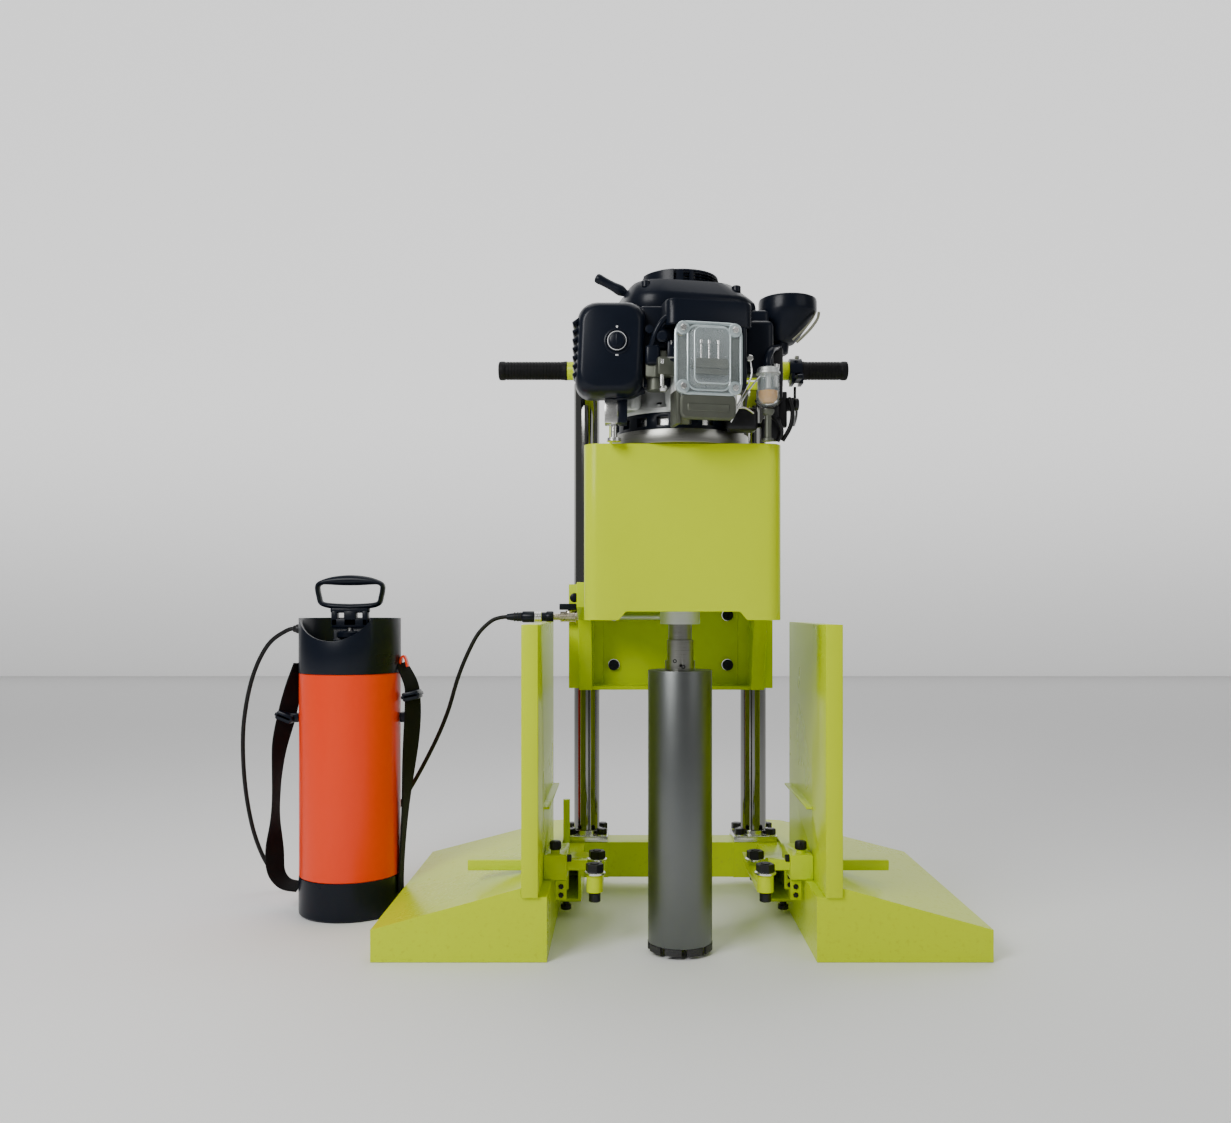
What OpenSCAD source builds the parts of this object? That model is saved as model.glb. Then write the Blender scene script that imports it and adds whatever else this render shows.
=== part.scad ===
// Walk-behind core drill rig: a petrol engine on a carriage that two chromed columns guide,
// a sheet-steel base with two standing wings, and a pressure tank that feeds the barrel with water.
// The rig's own frame has the drill axis at x = 0, y = 0, the front towards -y and the floor at z = 0.

/* [Base] */
// Width over both wings
rig_w = 960; // [900:10:1100]
// Width of one wing
wing_w = 272; // [240:4:320]
// Length of a wing along its outer edge
wing_len = 549; // [480:1:640]
// How much longer a wing is at its inner edge
wing_skew = 83; // [40:1:110]
// Distance of the wings' front faces in front of the drill axis
wing_front = 60; // [40:1:90]
// Height of a wing's outer edge
wing_edge_h = 50; // [36:1:70]
// Height of a wing's top beside the guard
wing_ridge_h = 114; // [100:1:118]
// Height of the flat shelf that carries the guard
wing_shelf_h = 100; // [90:1:104]
// Sheet thickness of the wings
wing_sheet = 4; // [3:0.5:6]
// Outer height of the frame's rectangular tube
frame_tube_h = 67; // [50:1:72]
// Height of the frame's underside above the floor
frame_lift = 27; // [15:1:32]
// Width of a frame arm
arm_w = 42; // [30:1:45]
// Distance of the arm ends behind the drill axis
arm_front = 192; // [160:1:240]

/* [Guards] */
// Height of the guards' top edge above the floor
guard_top = 520; // [420:5:525]
// Width of a guard's folded flanges
guard_flange = 23; // [16:1:26]
// Length of a guard from front to back
guard_len = 406; // [330:2:410]
// Sheet thickness of a guard
guard_sheet = 4; // [3:0.5:6]
// Depth of a guard's thicker front strip
guard_strip = 130; // [80:1:160]

/* [Columns] */
// Diameter of a guide column
column_d = 50; // [40:1:56]
// Distance between the column centres
column_gap = 327; // [310:1:340]
// Distance of the columns behind the drill axis
column_back = 411; // [405:1:430]
// Height of the column tops
column_top = 985; // [960:5:1050]
// Side of the square foot flange
flange_w = 84; // [78:1:90]

/* [Carriage] */
// Height of the carriage block's underside at rest
block_z = 391; // [380:1:400]
// Height of the carriage block
block_h = 201; // [180:1:210]
// Width of the carriage block
block_w = 394; // [386:1:400]
// Width of the front cover
cover_w = 300; // [290:2:304]
// Height of the front cover
cover_h = 267; // [250:1:275]
// Distance of the cover's face in front of the drill axis
cover_front = 94; // [88:1:110]
// Sheet thickness of the front cover
cover_sheet = 3; // [2:0.5:4]

/* [Drill] */
// Outer diameter of the core barrel's tube
barrel_d = 102; // [60:1:110]
// Wall of the barrel tube
barrel_wall = 3; // [2:0.5:4]
// Length of the barrel with its segments
barrel_len = 442; // [430:1:444]
// Number of cutting segments
segment_count = 9; // [6:1:12]
// Module of the gearbox teeth
gear_module = 2; // [1.8:0.1:2.1]
// Teeth of the input pinion
input_teeth = 18; // [17:1:20]
// Teeth of the layshaft gear
layshaft_gear_teeth = 42; // [40:1:43]
// Teeth of the layshaft pinion
layshaft_pinion_teeth = 17; // [17:1:20]

/* [Engine] */
// Turn of the cylinder from straight ahead, towards the right
engine_turn = 12; // [0:1:16]
// Height of the engine's mounting face
engine_z = 794; // [790:1:800]
// Outer radius of the shroud
shroud_r = 108; // [104:1:112]
// Distance of the rocker cover's face from the crankshaft axis
head_reach = 185; // [178:1:190]
// Width of the rocker cover
rocker_w = 94; // [80:1:98]

/* [Handlebar] */
// Width over both grips
handle_w = 638; // [600:2:700]
// Height of the handlebar
handle_z = 980; // [960:5:1000]
// Distance of the handlebar behind the drill axis
handle_back = 263; // [255:1:275]
// Diameter of a rubber grip
grip_d = 33; // [28:1:36]

/* [Water tank] */
// Outer diameter of the tank
tank_d = 180; // [160:1:184]
// Height of the tank without its handle
tank_h = 528; // [500:2:560]
// Distance of the tank's axis left of the drill axis
tank_left = 585; // [582:1:640]
// Distance of the tank's axis behind the drill axis
tank_back = 238; // [230:1:245]
// How far the straps stand out from the tank
strap_out = 44; // [30:1:50]

/* [Hose] */
// Diameter of the water hose
hose_d = 8; // [7:0.5:9]

/* [Hidden] */
$fn = 48;
gap = 0.3;
slip = 0.05;
wrap = 0.01;

paint = [0.76, 0.83, 0.03];
blacked = [0.05, 0.05, 0.07];
steel = [0.62, 0.63, 0.65];
chrome_c = [0.85, 0.86, 0.88];
orange = [1.0, 0.28, 0.03];
brass_c = [0.78, 0.6, 0.25];

// where things lie in the rig's own frame
wing_out = rig_w / 2;
wing_in = wing_out - wing_w;
wing_back_out = wing_len - wing_front;
wing_back_in = wing_back_out + wing_skew;
guard_in = wing_in + 16;
guard_front = wing_front + 6;
guard_rear = guard_len - guard_front;
crease_y = -15;
crease_drop = 16;
ridge_x = guard_in + guard_flange + 1;
column_x = column_gap / 2;
frame_top = frame_lift + frame_tube_h;
arm_out = wing_in - gap;
flange_t = 12;
bridge_t = 15;
rest_travel_post = 179;

cover_z = engine_z - cover_h;
barrel_top = barrel_len + 5;
adapter_h = 48;
adapter_d = 48;
neck_d = 38;
collar_z = barrel_top + adapter_h + 25;
spindle_d = 40;
spindle_bore = 12;

tank_r = tank_d / 2;
strap_t = 3;
strap_w = 36;

// the origin is the bottom centre of everything but the hose
left_reach = tank_left + tank_r + strap_out + strap_t / 2;
right_reach = wing_out;
front_reach = head_reach * cos(engine_turn) + rocker_w / 2 * sin(engine_turn);
drill_x = (left_reach - right_reach) / 2;
drill_y = (front_reach - wing_back_in) / 2;

// ---- shared shapes ----

module rig() {
    translate([drill_x, drill_y, 0]) children();
}

module engine() {
    rig() translate([0, 0, engine_z]) rotate(engine_turn) children();
}

module tank() {
    translate([drill_x - tank_left, drill_y + tank_back, 0]) children();
}

module both_sides() {
    children();
    mirror([1, 0, 0]) children();
}

// a box from its lowest to its highest corner
module block(low, high) {
    translate(low) cube(high - low);
}

module tube(r_out, r_in, h) {
    difference() {
        cylinder(h = h, r = r_out);
        translate([0, 0, -1]) cylinder(h = h + 2, r = r_in);
    }
}

module rounded_box(low, high, r) {
    size = high - low;
    translate(low) linear_extrude(size[2]) rounded_square(size[0], size[1], r);
}

module rounded_square(w, d, r) {
    union() {
        translate([r, 0]) square([w - 2 * r, d]);
        translate([0, r]) square([w, d - 2 * r]);
        for (x = [r, w - r], y = [r, d - r]) translate([x, y]) circle(r);
    }
}

module hex(flats, h) {
    cylinder(h = h, d = flats / cos(30), $fn = 6);
}

// smooth route through hand-set points
function spline_at(p, i, t) =
    let (n = len(p) - 1,
         a = p[max(i - 1, 0)], b = p[i], c = p[min(i + 1, n)], d = p[min(i + 2, n)])
    0.5 * (2 * b + (c - a) * t + (2 * a - 5 * b + 4 * c - d) * t * t
        + (3 * b - a - 3 * c + d) * t * t * t);
function route(p, steps) = [
    for (i = [0 : len(p) - 2], k = [0 : steps - 1]) spline_at(p, i, k / steps),
    p[len(p) - 1]
];
function unit(v) = v / norm(v);
function heading(q, i) = unit(q[min(i + 1, len(q) - 1)] - q[max(i - 1, 0)]);

module sweep(q, r, sides, ref) {
    rings = len(q);
    points = [
        for (i = [0 : rings - 1])
            let (t = heading(q, i), u = unit(cross(t, ref)), v = cross(t, u))
            for (k = [0 : sides - 1])
                q[i] + r * (cos(360 * k / sides) * u + sin(360 * k / sides) * v)
    ];
    walls = [
        for (i = [0 : rings - 2], k = [0 : sides - 1])
            let (a = i * sides + k, b = i * sides + (k + 1) % sides)
            [a, a + sides, b + sides, b]
    ];
    start = [for (k = [0 : sides - 1]) k];
    end = [for (k = [sides - 1 : -1 : 0]) (rings - 1) * sides + k];
    polyhedron(points, concat([start], walls, [end]), convexity = 8);
}

// ---- involute teeth ----

pressure = 20;
backlash_deg = 0.35;
function inv(a) = tan(a) * 180 / PI - a;
function pitch_r(z) = gear_module * z / 2;
function base_r(z) = pitch_r(z) * cos(pressure);
function half_tooth(z, r) = 90 / z - backlash_deg + inv(pressure) - inv(acos(min(1, base_r(z) / r)));
function flank_radii(z) =
    let (low = max(base_r(z), pitch_r(z) - gear_module), high = pitch_r(z) + 0.9 * gear_module)
    [for (k = [0 : 4]) low + (high - low) * k / 4];
function at_angle(r, a) = [r * cos(a), r * sin(a)];
function tooth(z, a) = concat(
    [at_angle(pitch_r(z) - 1.25 * gear_module, a - 180 / z * 0.62)],
    [for (r = flank_radii(z)) at_angle(r, a - half_tooth(z, r))],
    [for (k = [4 : -1 : 0]) let (r = flank_radii(z)[k]) at_angle(r, a + half_tooth(z, r))],
    [at_angle(pitch_r(z) - 1.25 * gear_module, a + 180 / z * 0.62)]
);

module gear(z, h, bore_r) {
    linear_extrude(h) difference() {
        polygon([for (i = [0 : z - 1]) each tooth(z, 360 * i / z)]);
        circle(bore_r);
    }
}

// ---- base: frame, wings, guards ----

post_x = column_x + 37;
post_y = column_back - flange_w / 2 - 8;
post_d = 13;
pedestal_w = flange_w + 2;
pedestal_x = column_x - pedestal_w / 2;
cross_front = column_back - pedestal_w / 2;
lug_t = 12;
lug_x = 136;
lug_w = 26;
near_screw_y = 0;
far_screw_y = 139;
lug_top = frame_top + lug_t;
boss_h = 16;
screw_thread_d = 16;

module base_frame() {
    color(paint) rig() difference() {
        union() {
            block([-pedestal_x - 1, cross_front + 4, frame_lift], [pedestal_x + 1, cross_front + 72, frame_top]);
            both_sides() {
                block([pedestal_x, cross_front, frame_lift],
                    [column_x + pedestal_w / 2, column_back + pedestal_w / 2, frame_top]);
                block([arm_out - arm_w, arm_front, frame_lift], [arm_out, cross_front + 1, frame_top]);
                block([lug_x - lug_w / 2, near_screw_y, frame_top - 1], [arm_out - 8, arm_front + 40, lug_top]);
                for (y = [near_screw_y, far_screw_y])
                    translate([lug_x, y, frame_top]) cylinder(h = lug_t + boss_h * (y == near_screw_y ? 1 : 0.4), d = lug_w);
            }
            translate([-post_x, post_y, frame_top - 1]) cylinder(h = rest_travel_post - frame_top + 1, d = post_d);
        }
        // the lug narrows towards the front, clear of the sleeve block
        both_sides()
            block([lug_x + lug_w / 2, near_screw_y - 40, frame_top - 2], [arm_out + 1, arm_front - 8, lug_top + 1]);
        both_sides() for (y = [near_screw_y, far_screw_y])
            translate([lug_x, y, frame_top - 2]) cylinder(h = 60, d = screw_thread_d);
        both_sides() at_flange_bolts() translate([0, 0, frame_top - 30]) cylinder(h = 31, d = flange_bolt_d);
        // the tubes are open inside
        block([-pedestal_x - 2, cross_front + 9, frame_lift + 5], [pedestal_x + 2, cross_front + 67, frame_top - 5]);
        both_sides()
            block([arm_out - arm_w + 5, arm_front - 1, frame_lift + 5], [arm_out - 5, cross_front - 6, frame_top - 5]);
    }
}

flange_bolt_d = 12;
flange_bolt_gap = flange_w - 24;

module at_flange_bolts() {
    for (dx = [-1, 1], dy = [-1, 1])
        translate([column_x + dx * flange_bolt_gap / 2, column_back + dy * flange_bolt_gap / 2, 0]) children();
}

module guide_columns() {
    color(chrome_c) rig() both_sides() translate([column_x, column_back, frame_top + gap])
        tube(column_d / 2, column_d / 2 - 7, column_top - frame_top - gap);
}

module column_flanges() {
    color(steel) rig() difference() {
        both_sides() {
            block([column_x - flange_w / 2, column_back - flange_w / 2, frame_top + gap],
                [column_x + flange_w / 2, column_back + flange_w / 2, frame_top + flange_t]);
            translate([column_x, column_back, frame_top + flange_t - 1]) cylinder(h = 9, r = column_d / 2 + 6);
        }
        both_sides() translate([column_x, column_back, frame_top - 1]) cylinder(h = 40, r = column_d / 2 + slip);
        both_sides() at_flange_bolts() translate([0, 0, frame_top - 1]) cylinder(h = 40, d = flange_bolt_d + 1);
    }
}

// eight hexagon bolts in the flanges and the four screws in the lugs, two of them with a rubber pad
module frame_screws() {
    head_z = frame_top + flange_t + gap;
    color(blacked) rig() both_sides() {
        at_flange_bolts() {
            translate([0, 0, head_z]) hex(18, 8);
            translate([0, 0, head_z - 36]) cylinder(h = 37, d = flange_bolt_d - 2 * slip);
        }
        translate([lug_x, near_screw_y, 0]) lug_screw(frame_top + lug_t + boss_h);
        translate([lug_x, far_screw_y, 0]) lug_screw(frame_top + lug_t + boss_h * 0.4);
    }
}

module lug_screw(seat) {
    translate([0, 0, seat + gap]) cylinder(h = 4, d = 34);
    translate([0, 0, seat + gap + 3]) hex(27, 14);
    translate([0, 0, frame_top - 1]) cylinder(h = seat - frame_top + 5, d = screw_thread_d - 2 * slip);
    translate([0, 0, frame_top - 16]) cylinder(h = 15 - gap, d = 19);
}

module column_bridge() {
    color(paint) rig() difference() {
        linear_extrude_at(column_top - bridge_t) hull() {
            for (x = [-1, 1]) translate([x * (column_x - 6), column_back]) circle(30);
        }
        both_sides() translate([column_x, column_back, 0]) cylinder(h = column_top + 1, r = column_d / 2 + slip);
        translate([0, column_back, 0]) cylinder(h = column_top + 1, r = 14);
    }
}

module linear_extrude_at(z, h = bridge_t) {
    translate([0, 0, z]) linear_extrude(h) children();
}

// a right-hand wing as a solid, drawn in by s for the hollow under its sheet
module wing_form(s) {
    back_out = wing_back_out - s;
    back_in = wing_back_in - s;
    beyond = 50;
    slope = (wing_ridge_h - wing_edge_h) / (wing_out - ridge_x);
    ridge_back = back_out + (back_in - back_out) * (wing_out - ridge_x) / wing_w;
    hip = [wing_out, wing_back_out, wing_edge_h - s];
    apex = [ridge_x, crease_y, wing_ridge_h - s];
    rear = [ridge_x, ridge_back, wing_ridge_h - crease_drop - s];
    facet = [
        for (c = [[-1, -1], [-1, 2], [2, 2], [2, -1]]) apex + c[0] * (rear - apex) + c[1] * (hip - apex)
    ];
    difference() {
        translate([0, 0, s > 0 ? -1 : 0]) linear_extrude(wing_ridge_h + 1) polygon([
            [wing_in + s, s - wing_front], [wing_out - s, s - wing_front],
            [wing_out - s, back_out], [wing_in + s, back_in]
        ]);
        // the sloping top
        translate([0, wing_back_in + beyond, 0]) rotate([90, 0, 0])
            linear_extrude(wing_back_in + wing_front + 2 * beyond) polygon([
                [wing_out + beyond, wing_edge_h - s - beyond * slope], [ridge_x - beyond, wing_ridge_h - s + beyond * slope],
                [ridge_x - beyond, 4 * beyond], [wing_out + beyond, 4 * beyond]
            ]);
        // the rear facet that a crease parts from it
        polyhedron(
            concat(facet, [for (p = facet) p + [0, 0, 4 * beyond]]),
            [[0, 1, 2, 3], [7, 6, 5, 4], [0, 4, 5, 1], [1, 5, 6, 2], [2, 6, 7, 3], [3, 7, 4, 0]]
        );
        // the shelf under the guard
        block([wing_in - beyond, -wing_front - beyond, wing_shelf_h - s], [ridge_x + s, wing_back_in + beyond, 4 * beyond]);
    }
}

module wing() {
    difference() {
        wing_form(0);
        wing_form(wing_sheet);
    }
}

module left_wing() {
    color(paint) rig() mirror([1, 0, 0]) wing();
}

module right_wing() {
    color(paint) rig() wing();
}

bar_d = 20;
bar_h = 17;
bar_z = wing_ridge_h - 0.5;
bar_front = 58;
bar_in = 150;
bar_out = 347;
bar_travel = 70;
rib_z = 213;

module guard() {
    foot = wing_shelf_h + gap;
    out = guard_in + guard_flange;
    difference() {
        union() {
            block([guard_in, -guard_front, foot], [guard_in + guard_sheet, guard_rear, guard_top]);
            block([guard_in - 3, -guard_front, foot], [guard_in + 1, guard_strip - guard_front, guard_top]);
            block([guard_in, -guard_front, foot], [out, guard_sheet - guard_front, guard_top]);
            block([guard_in, guard_rear - guard_sheet, foot], [out, guard_rear, guard_top]);
            block([guard_in, guard_strip - guard_front - guard_sheet, foot],
                [out, guard_strip - guard_front, guard_top]);
            block([guard_in, -guard_front, guard_top - guard_sheet], [out, guard_rear, guard_top]);
            block([guard_in, -guard_front, foot], [out, guard_rear, foot + guard_sheet]);
            block([guard_in - 12, guard_strip - guard_front, rib_z], [guard_in + 1, guard_rear - 20, rib_z + guard_sheet]);
        }
        // the slot that the lock bar runs through
        block([guard_in - 20, bar_front - 1, bar_z - 0.5], [out + 5, bar_front + bar_d + 1, bar_z + bar_h + 1]);
    }
}

module left_guard() {
    color(paint) rig() mirror([1, 0, 0]) guard();
}

module right_guard() {
    color(paint) rig() guard();
}

sleeve_in = 183;
sleeve_front = 47;
sleeve_len = 101;
sleeve_top = bar_z + bar_h + 10;
knob_x = 203;
knob_y = bar_front + bar_d / 2;
knob_thread_d = 8;

module sleeve_blocks() {
    color(paint) rig() both_sides() difference() {
        union() {
            block([sleeve_in, sleeve_front, wing_shelf_h + gap],
                [guard_in - 3 - gap, sleeve_front + sleeve_len, sleeve_top]);
            translate([knob_x, knob_y, sleeve_top - 1]) cylinder(h = 7, d = 15);
        }
        block([sleeve_in - 1, bar_front - 0.3, bar_z - 0.3], [guard_in, bar_front + bar_d + 0.3, bar_z + bar_h + 0.3]);
        translate([knob_x, knob_y, bar_z + 2]) cylinder(h = 60, d = knob_thread_d + 2 * slip);
    }
}

module lock_bar() {
    block([bar_in, bar_front, bar_z], [bar_out, bar_front + bar_d, bar_z + bar_h]);
}

module left_lock_bar() {
    color(paint) rig() mirror([1, 0, 0]) lock_bar();
}

module right_lock_bar() {
    color(paint) rig() lock_bar();
}

module clamp_knob() {
    translate([knob_x, knob_y, sleeve_top + 6 + gap]) {
        difference() {
            cylinder(h = 14, d = 20);
            for (a = [0 : 45 : 359]) rotate(a) translate([11, 0, -1]) cylinder(h = 16, d = 4, $fn = 16);
        }
        translate([0, 0, bar_z + bar_h - sleeve_top - 6]) cylinder(h = sleeve_top - bar_z - bar_h + 7, d = knob_thread_d);
    }
}

module left_clamp_knob() {
    color(blacked) rig() mirror([1, 0, 0]) clamp_knob();
}

module right_clamp_knob() {
    color(blacked) rig() clamp_knob();
}

// ---- carriage ----

block_front = 374;
block_back = 450;
block_top = block_z + block_h;
cheek_out = 175;
cheek_t = cheek_out - cover_w / 2 - gap;
cheek_front = 282;
bush_wall = 6;
bush_h = 60;
back_wall_t = 16;
plug_x = 110;
plug_z = block_z + 45;
plug_d = 22;
shelf_front = 236;
upright_x = 104;
upright_d = 26;

module at_columns() {
    both_sides() translate([column_x, column_back, 0]) children();
}

module cheek() {
    // a cheek's front edge runs back towards its foot
    translate([cheek_out - cheek_t, 0, 0]) rotate([90, 0, 90]) linear_extrude(cheek_t) polygon([
        [block_front + 10, block_z], [cheek_front + 44, block_z], [cheek_front + 26, block_z + 80],
        [cheek_front, cover_z - 2], [cheek_front - 60, cover_z + 20], [cheek_front - 60, block_top],
        [block_front + 10, block_top]
    ]);
}

module carriage_block() {
    color(paint) rig() difference() {
        union() {
            both_sides() {
                block([cheek_out - 45, block_front, block_z], [block_w / 2, block_back, block_top]);
                cheek();
            }
            block([-cheek_out + 30, block_front + 6, block_z], [cheek_out - 30, block_front + 6 + back_wall_t, block_top]);
            block([-cheek_out + 20, cheek_front + 50, block_z], [cheek_out - 20, block_front + 10, block_z + 7]);
            // the shelf that carries the gearbox and the handlebar's uprights
            block([gap + cover_sheet - cover_w / 2, shelf_front, block_top - 20],
                [cover_w / 2 - cover_sheet - gap, block_front + 10, block_top]);
            block([-cheek_out + 5, cover_back + 1, block_top - 20], [cheek_out - 5, block_front + 10, block_top]);
        }
        at_columns() translate([0, 0, block_z - 1]) cylinder(h = block_h + 2, r = column_d / 2 + bush_wall + slip);
        both_sides() for (z = [plug_z, block_top - 60])
            translate([plug_x, block_front + 40, z]) rotate([90, 0, 0]) cylinder(h = 80, d = plug_d);
        translate([-cheek_out - 1, inlet_y, inlet_z]) rotate([0, 90, 0]) cylinder(h = cheek_t + 2, d = 14);
        both_sides() translate([upright_x, handle_back, block_top - 12]) cylinder(h = 30, d = upright_d + 2 * slip);
    }
}

module linear_bushes() {
    color(brass_c) rig() at_columns() for (z = [block_z + 1, block_top - bush_h - 1])
        translate([0, 0, z]) tube(column_d / 2 + bush_wall, column_d / 2 + slip, bush_h);
}

cover_back = 300;
cover_corner = 22;
notch_top_w = 172;
notch_w = 196;
notch_h = 13;

module front_cover() {
    color(paint) rig() difference() {
        linear_extrude_at(cover_z, cover_h) difference() {
            cover_plan(0);
            cover_plan(cover_sheet);
        }
        translate([0, 0, cover_z]) rotate([90, 0, 0]) linear_extrude(cover_front + 20) polygon([
            [-notch_w / 2, -1], [notch_w / 2, -1], [notch_top_w / 2, notch_h], [-notch_top_w / 2, notch_h]
        ]);
    }
}

module cover_plan(s) {
    half = cover_w / 2;
    r = cover_corner;
    union() {
        translate([s - half, r - cover_front]) square([cover_w - 2 * s, cover_back + cover_front - r + s]);
        translate([r - half, s - cover_front]) square([cover_w - 2 * r, r]);
        for (x = [-1, 1]) translate([x * (half - r), r - cover_front]) circle(r - s);
    }
}

// ---- gearbox and spindle ----

axle_gap = gear_module * (input_teeth + layshaft_gear_teeth) / 2;
output_teeth = input_teeth + layshaft_gear_teeth - layshaft_pinion_teeth;
case_low = 562;
lid_low = engine_z - 14;
case_high = lid_low - gap;
case_wall = 10;
case_half = max(pitch_r(output_teeth), pitch_r(layshaft_gear_teeth)) + gear_module + 18;
case_front = case_half;
case_back = axle_gap + pitch_r(layshaft_gear_teeth) + gear_module + 16;
bearing_h = 14;
bearing_r = 34;
lay_bearing_r = 21;
lay_d = 20;
web_z = 652;
output_z = 622;
output_h = 24;
input_z = 730;
input_h = 20;

module at_layshaft() {
    translate([0, axle_gap, 0]) children();
}

module gearbox_housing() {
    color(steel) rig() difference() {
        union() {
            block([-case_half, -case_front, case_low], [case_half, case_back, case_high]);
            // the arms that bolt the case to the carriage's shelf
            both_sides()
                block([case_half - 22, case_back - 1, case_low], [case_half, shelf_front - gap, block_top]);
        }
        // two rooms with a bearing web between them
        block([case_wall - case_half, case_wall - case_front, case_low + 22],
            [case_half - case_wall, case_back - case_wall, web_z]);
        block([case_wall - case_half, case_wall - case_front, web_z + 20],
            [case_half - case_wall, case_back - case_wall, case_high + 1]);
        translate([0, 0, case_low - 1]) cylinder(h = 200, r = spindle_d / 2 + 2);
        translate([0, 0, case_low + 8]) cylinder(h = 30, r = bearing_r + slip);
        translate([0, 0, web_z - 1]) cylinder(h = bearing_h + 1, r = bearing_r + slip);
        at_layshaft() translate([0, 0, case_low + 8]) cylinder(h = 30, r = lay_bearing_r + slip);
        at_layshaft() translate([0, 0, web_z - 1]) cylinder(h = 40, r = pitch_r(layshaft_pinion_teeth) + 6);
        lid_bolts() translate([0, 0, case_high - 20]) cylinder(h = 30, r = 3);
    }
}

module lid_bolts() {
    for (x = [-1, 1], y = [5 - case_front, case_back - 5]) translate([x * (case_half - 5), y, 0]) children();
}

engine_bolt_r = 96;
engine_bolt_hole = 4.5;

// the lid is the plate that the engine stands on
module gearbox_lid() {
    color(steel) rig() difference() {
        linear_extrude_at(lid_low, engine_z - lid_low) union() {
            intersection() {
                circle(106);
                translate([-cover_w / 2, cover_sheet + gap - cover_front]) square(cover_w);
            }
            translate([-case_half, -case_front]) square([2 * case_half, case_front + case_back]);
        }
        translate([0, 0, lid_low - 1]) cylinder(h = 30, r = 26);
        at_layshaft() translate([0, 0, lid_low - 1]) cylinder(h = 11, r = lay_bearing_r + slip);
        lid_bolts() translate([0, 0, lid_low - 1]) cylinder(h = 30, r = 3);
        engine_bolts() translate([0, 0, -20]) cylinder(h = 30, r = engine_bolt_hole);
    }
}

module engine_bolts() {
    for (a = [45 : 90 : 359]) rotate(a) translate([engine_bolt_r, 0, engine_z]) children();
}

module gearbox_bearings() {
    color(chrome_c) rig() {
        for (z = [case_low + 8 + gap, web_z + gap - 1 + slip])
            translate([0, 0, z]) tube(bearing_r, spindle_d / 2 + slip, bearing_h - 2 * gap);
        at_layshaft() for (z = [case_low + 8 + gap, lid_low + gap])
            translate([0, 0, z]) tube(lay_bearing_r, lay_d / 2 + slip, 9);
    }
}

module layshaft() {
    color(steel) rig() at_layshaft() {
        translate([0, 0, case_low + 8 + gap]) cylinder(h = lid_low + 9 - case_low - 8, d = lay_d);
        translate([0, 0, output_z - 4]) rotate(270) gear(layshaft_pinion_teeth, output_h + 8, lay_d / 2 + wrap);
        translate([0, 0, input_z]) rotate(270 + 180 / layshaft_gear_teeth) gear(layshaft_gear_teeth, input_h - 2, lay_d / 2 + wrap);
    }
}

module output_gear() {
    color(steel) rig() translate([0, 0, output_z]) rotate(90 + 180 / output_teeth)
        gear(output_teeth, output_h, spindle_d / 2 + wrap);
}

spindle_top = web_z + 26;

module spindle() {
    color(chrome_c) rig() difference() {
        union() {
            translate([0, 0, barrel_top + adapter_h + gap]) cylinder(h = spindle_top - barrel_top - adapter_h, d = neck_d);
            translate([0, 0, case_low - 4]) cylinder(h = spindle_top - case_low + 4, d = spindle_d);
            translate([0, 0, barrel_top + adapter_h - 26]) cylinder(h = 30, d = 28);
        }
        translate([0, 0, barrel_top]) cylinder(h = collar_z + 12 - barrel_top, d = spindle_bore);
        translate([0, 0, collar_z + 11]) rotate([90, 0, 0]) cylinder(h = 60, d = 8, center = true);
    }
}

swivel_h = 19;
swivel_r = 32;
inlet_y = 358;
inlet_z = 529;

// the swivel collar stands still around the spindle and lets the water into it
module water_swivel() {
    color(steel) rig() difference() {
        union() {
            translate([0, 0, collar_z]) cylinder(h = case_low - 5 - collar_z, r = swivel_r);
            translate([0, 0, inlet_z]) rotate([-90, 0, 0]) cylinder(h = inlet_y + 6, d = 12);
            translate([-cheek_out + 1, inlet_y, inlet_z]) rotate([0, 90, 0]) cylinder(h = cheek_out - 1, d = 12);
        }
        translate([0, 0, collar_z - 1]) cylinder(h = 60, r = neck_d / 2 + slip);
        translate([0, 0, inlet_z]) rotate([-90, 0, 0]) cylinder(h = inlet_y, d = 7);
        translate([-cheek_out, inlet_y, inlet_z]) rotate([0, 90, 0]) cylinder(h = cheek_out, d = 7);
    }
}

adapter_flat = 41;

module core_adapter() {
    color(steel) rig() translate([0, 0, barrel_top + gap]) difference() {
        intersection() {
            cylinder(h = adapter_h - gap, d = adapter_d);
            union() {
                block([-adapter_flat / 2, -adapter_d, 14], [adapter_flat / 2, adapter_d, adapter_h]);
                cylinder(h = 15, d = adapter_d);
            }
        }
        translate([0, 0, adapter_h - 26 - gap - wrap]) cylinder(h = 30, r = 14 + slip);
        translate([0, 0, -1]) cylinder(h = 60, d = spindle_bore);
        for (a = [0 : 120 : 359]) rotate(a - 90) translate([0, 0, 8]) rotate([0, 90, 0]) cylinder(h = 40, d = 5);
    }
    color(steel) rig() translate([0, 0, barrel_top - 14]) difference() {
        cylinder(h = 14 + 2 * gap, d = 30);
        translate([0, 0, -1]) cylinder(h = 60, d = spindle_bore);
    }
}

segment_h = 11;
barrel_foot = barrel_top - barrel_len;

module core_barrel() {
    color(steel) rig() difference() {
        translate([0, 0, barrel_foot + segment_h]) cylinder(h = barrel_len - segment_h, d = barrel_d);
        translate([0, 0, barrel_foot - 1]) cylinder(h = barrel_len - 6, d = barrel_d - 2 * barrel_wall);
        translate([0, 0, barrel_top - 30]) cylinder(h = 60, r = 15 + slip);
    }
}

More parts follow.
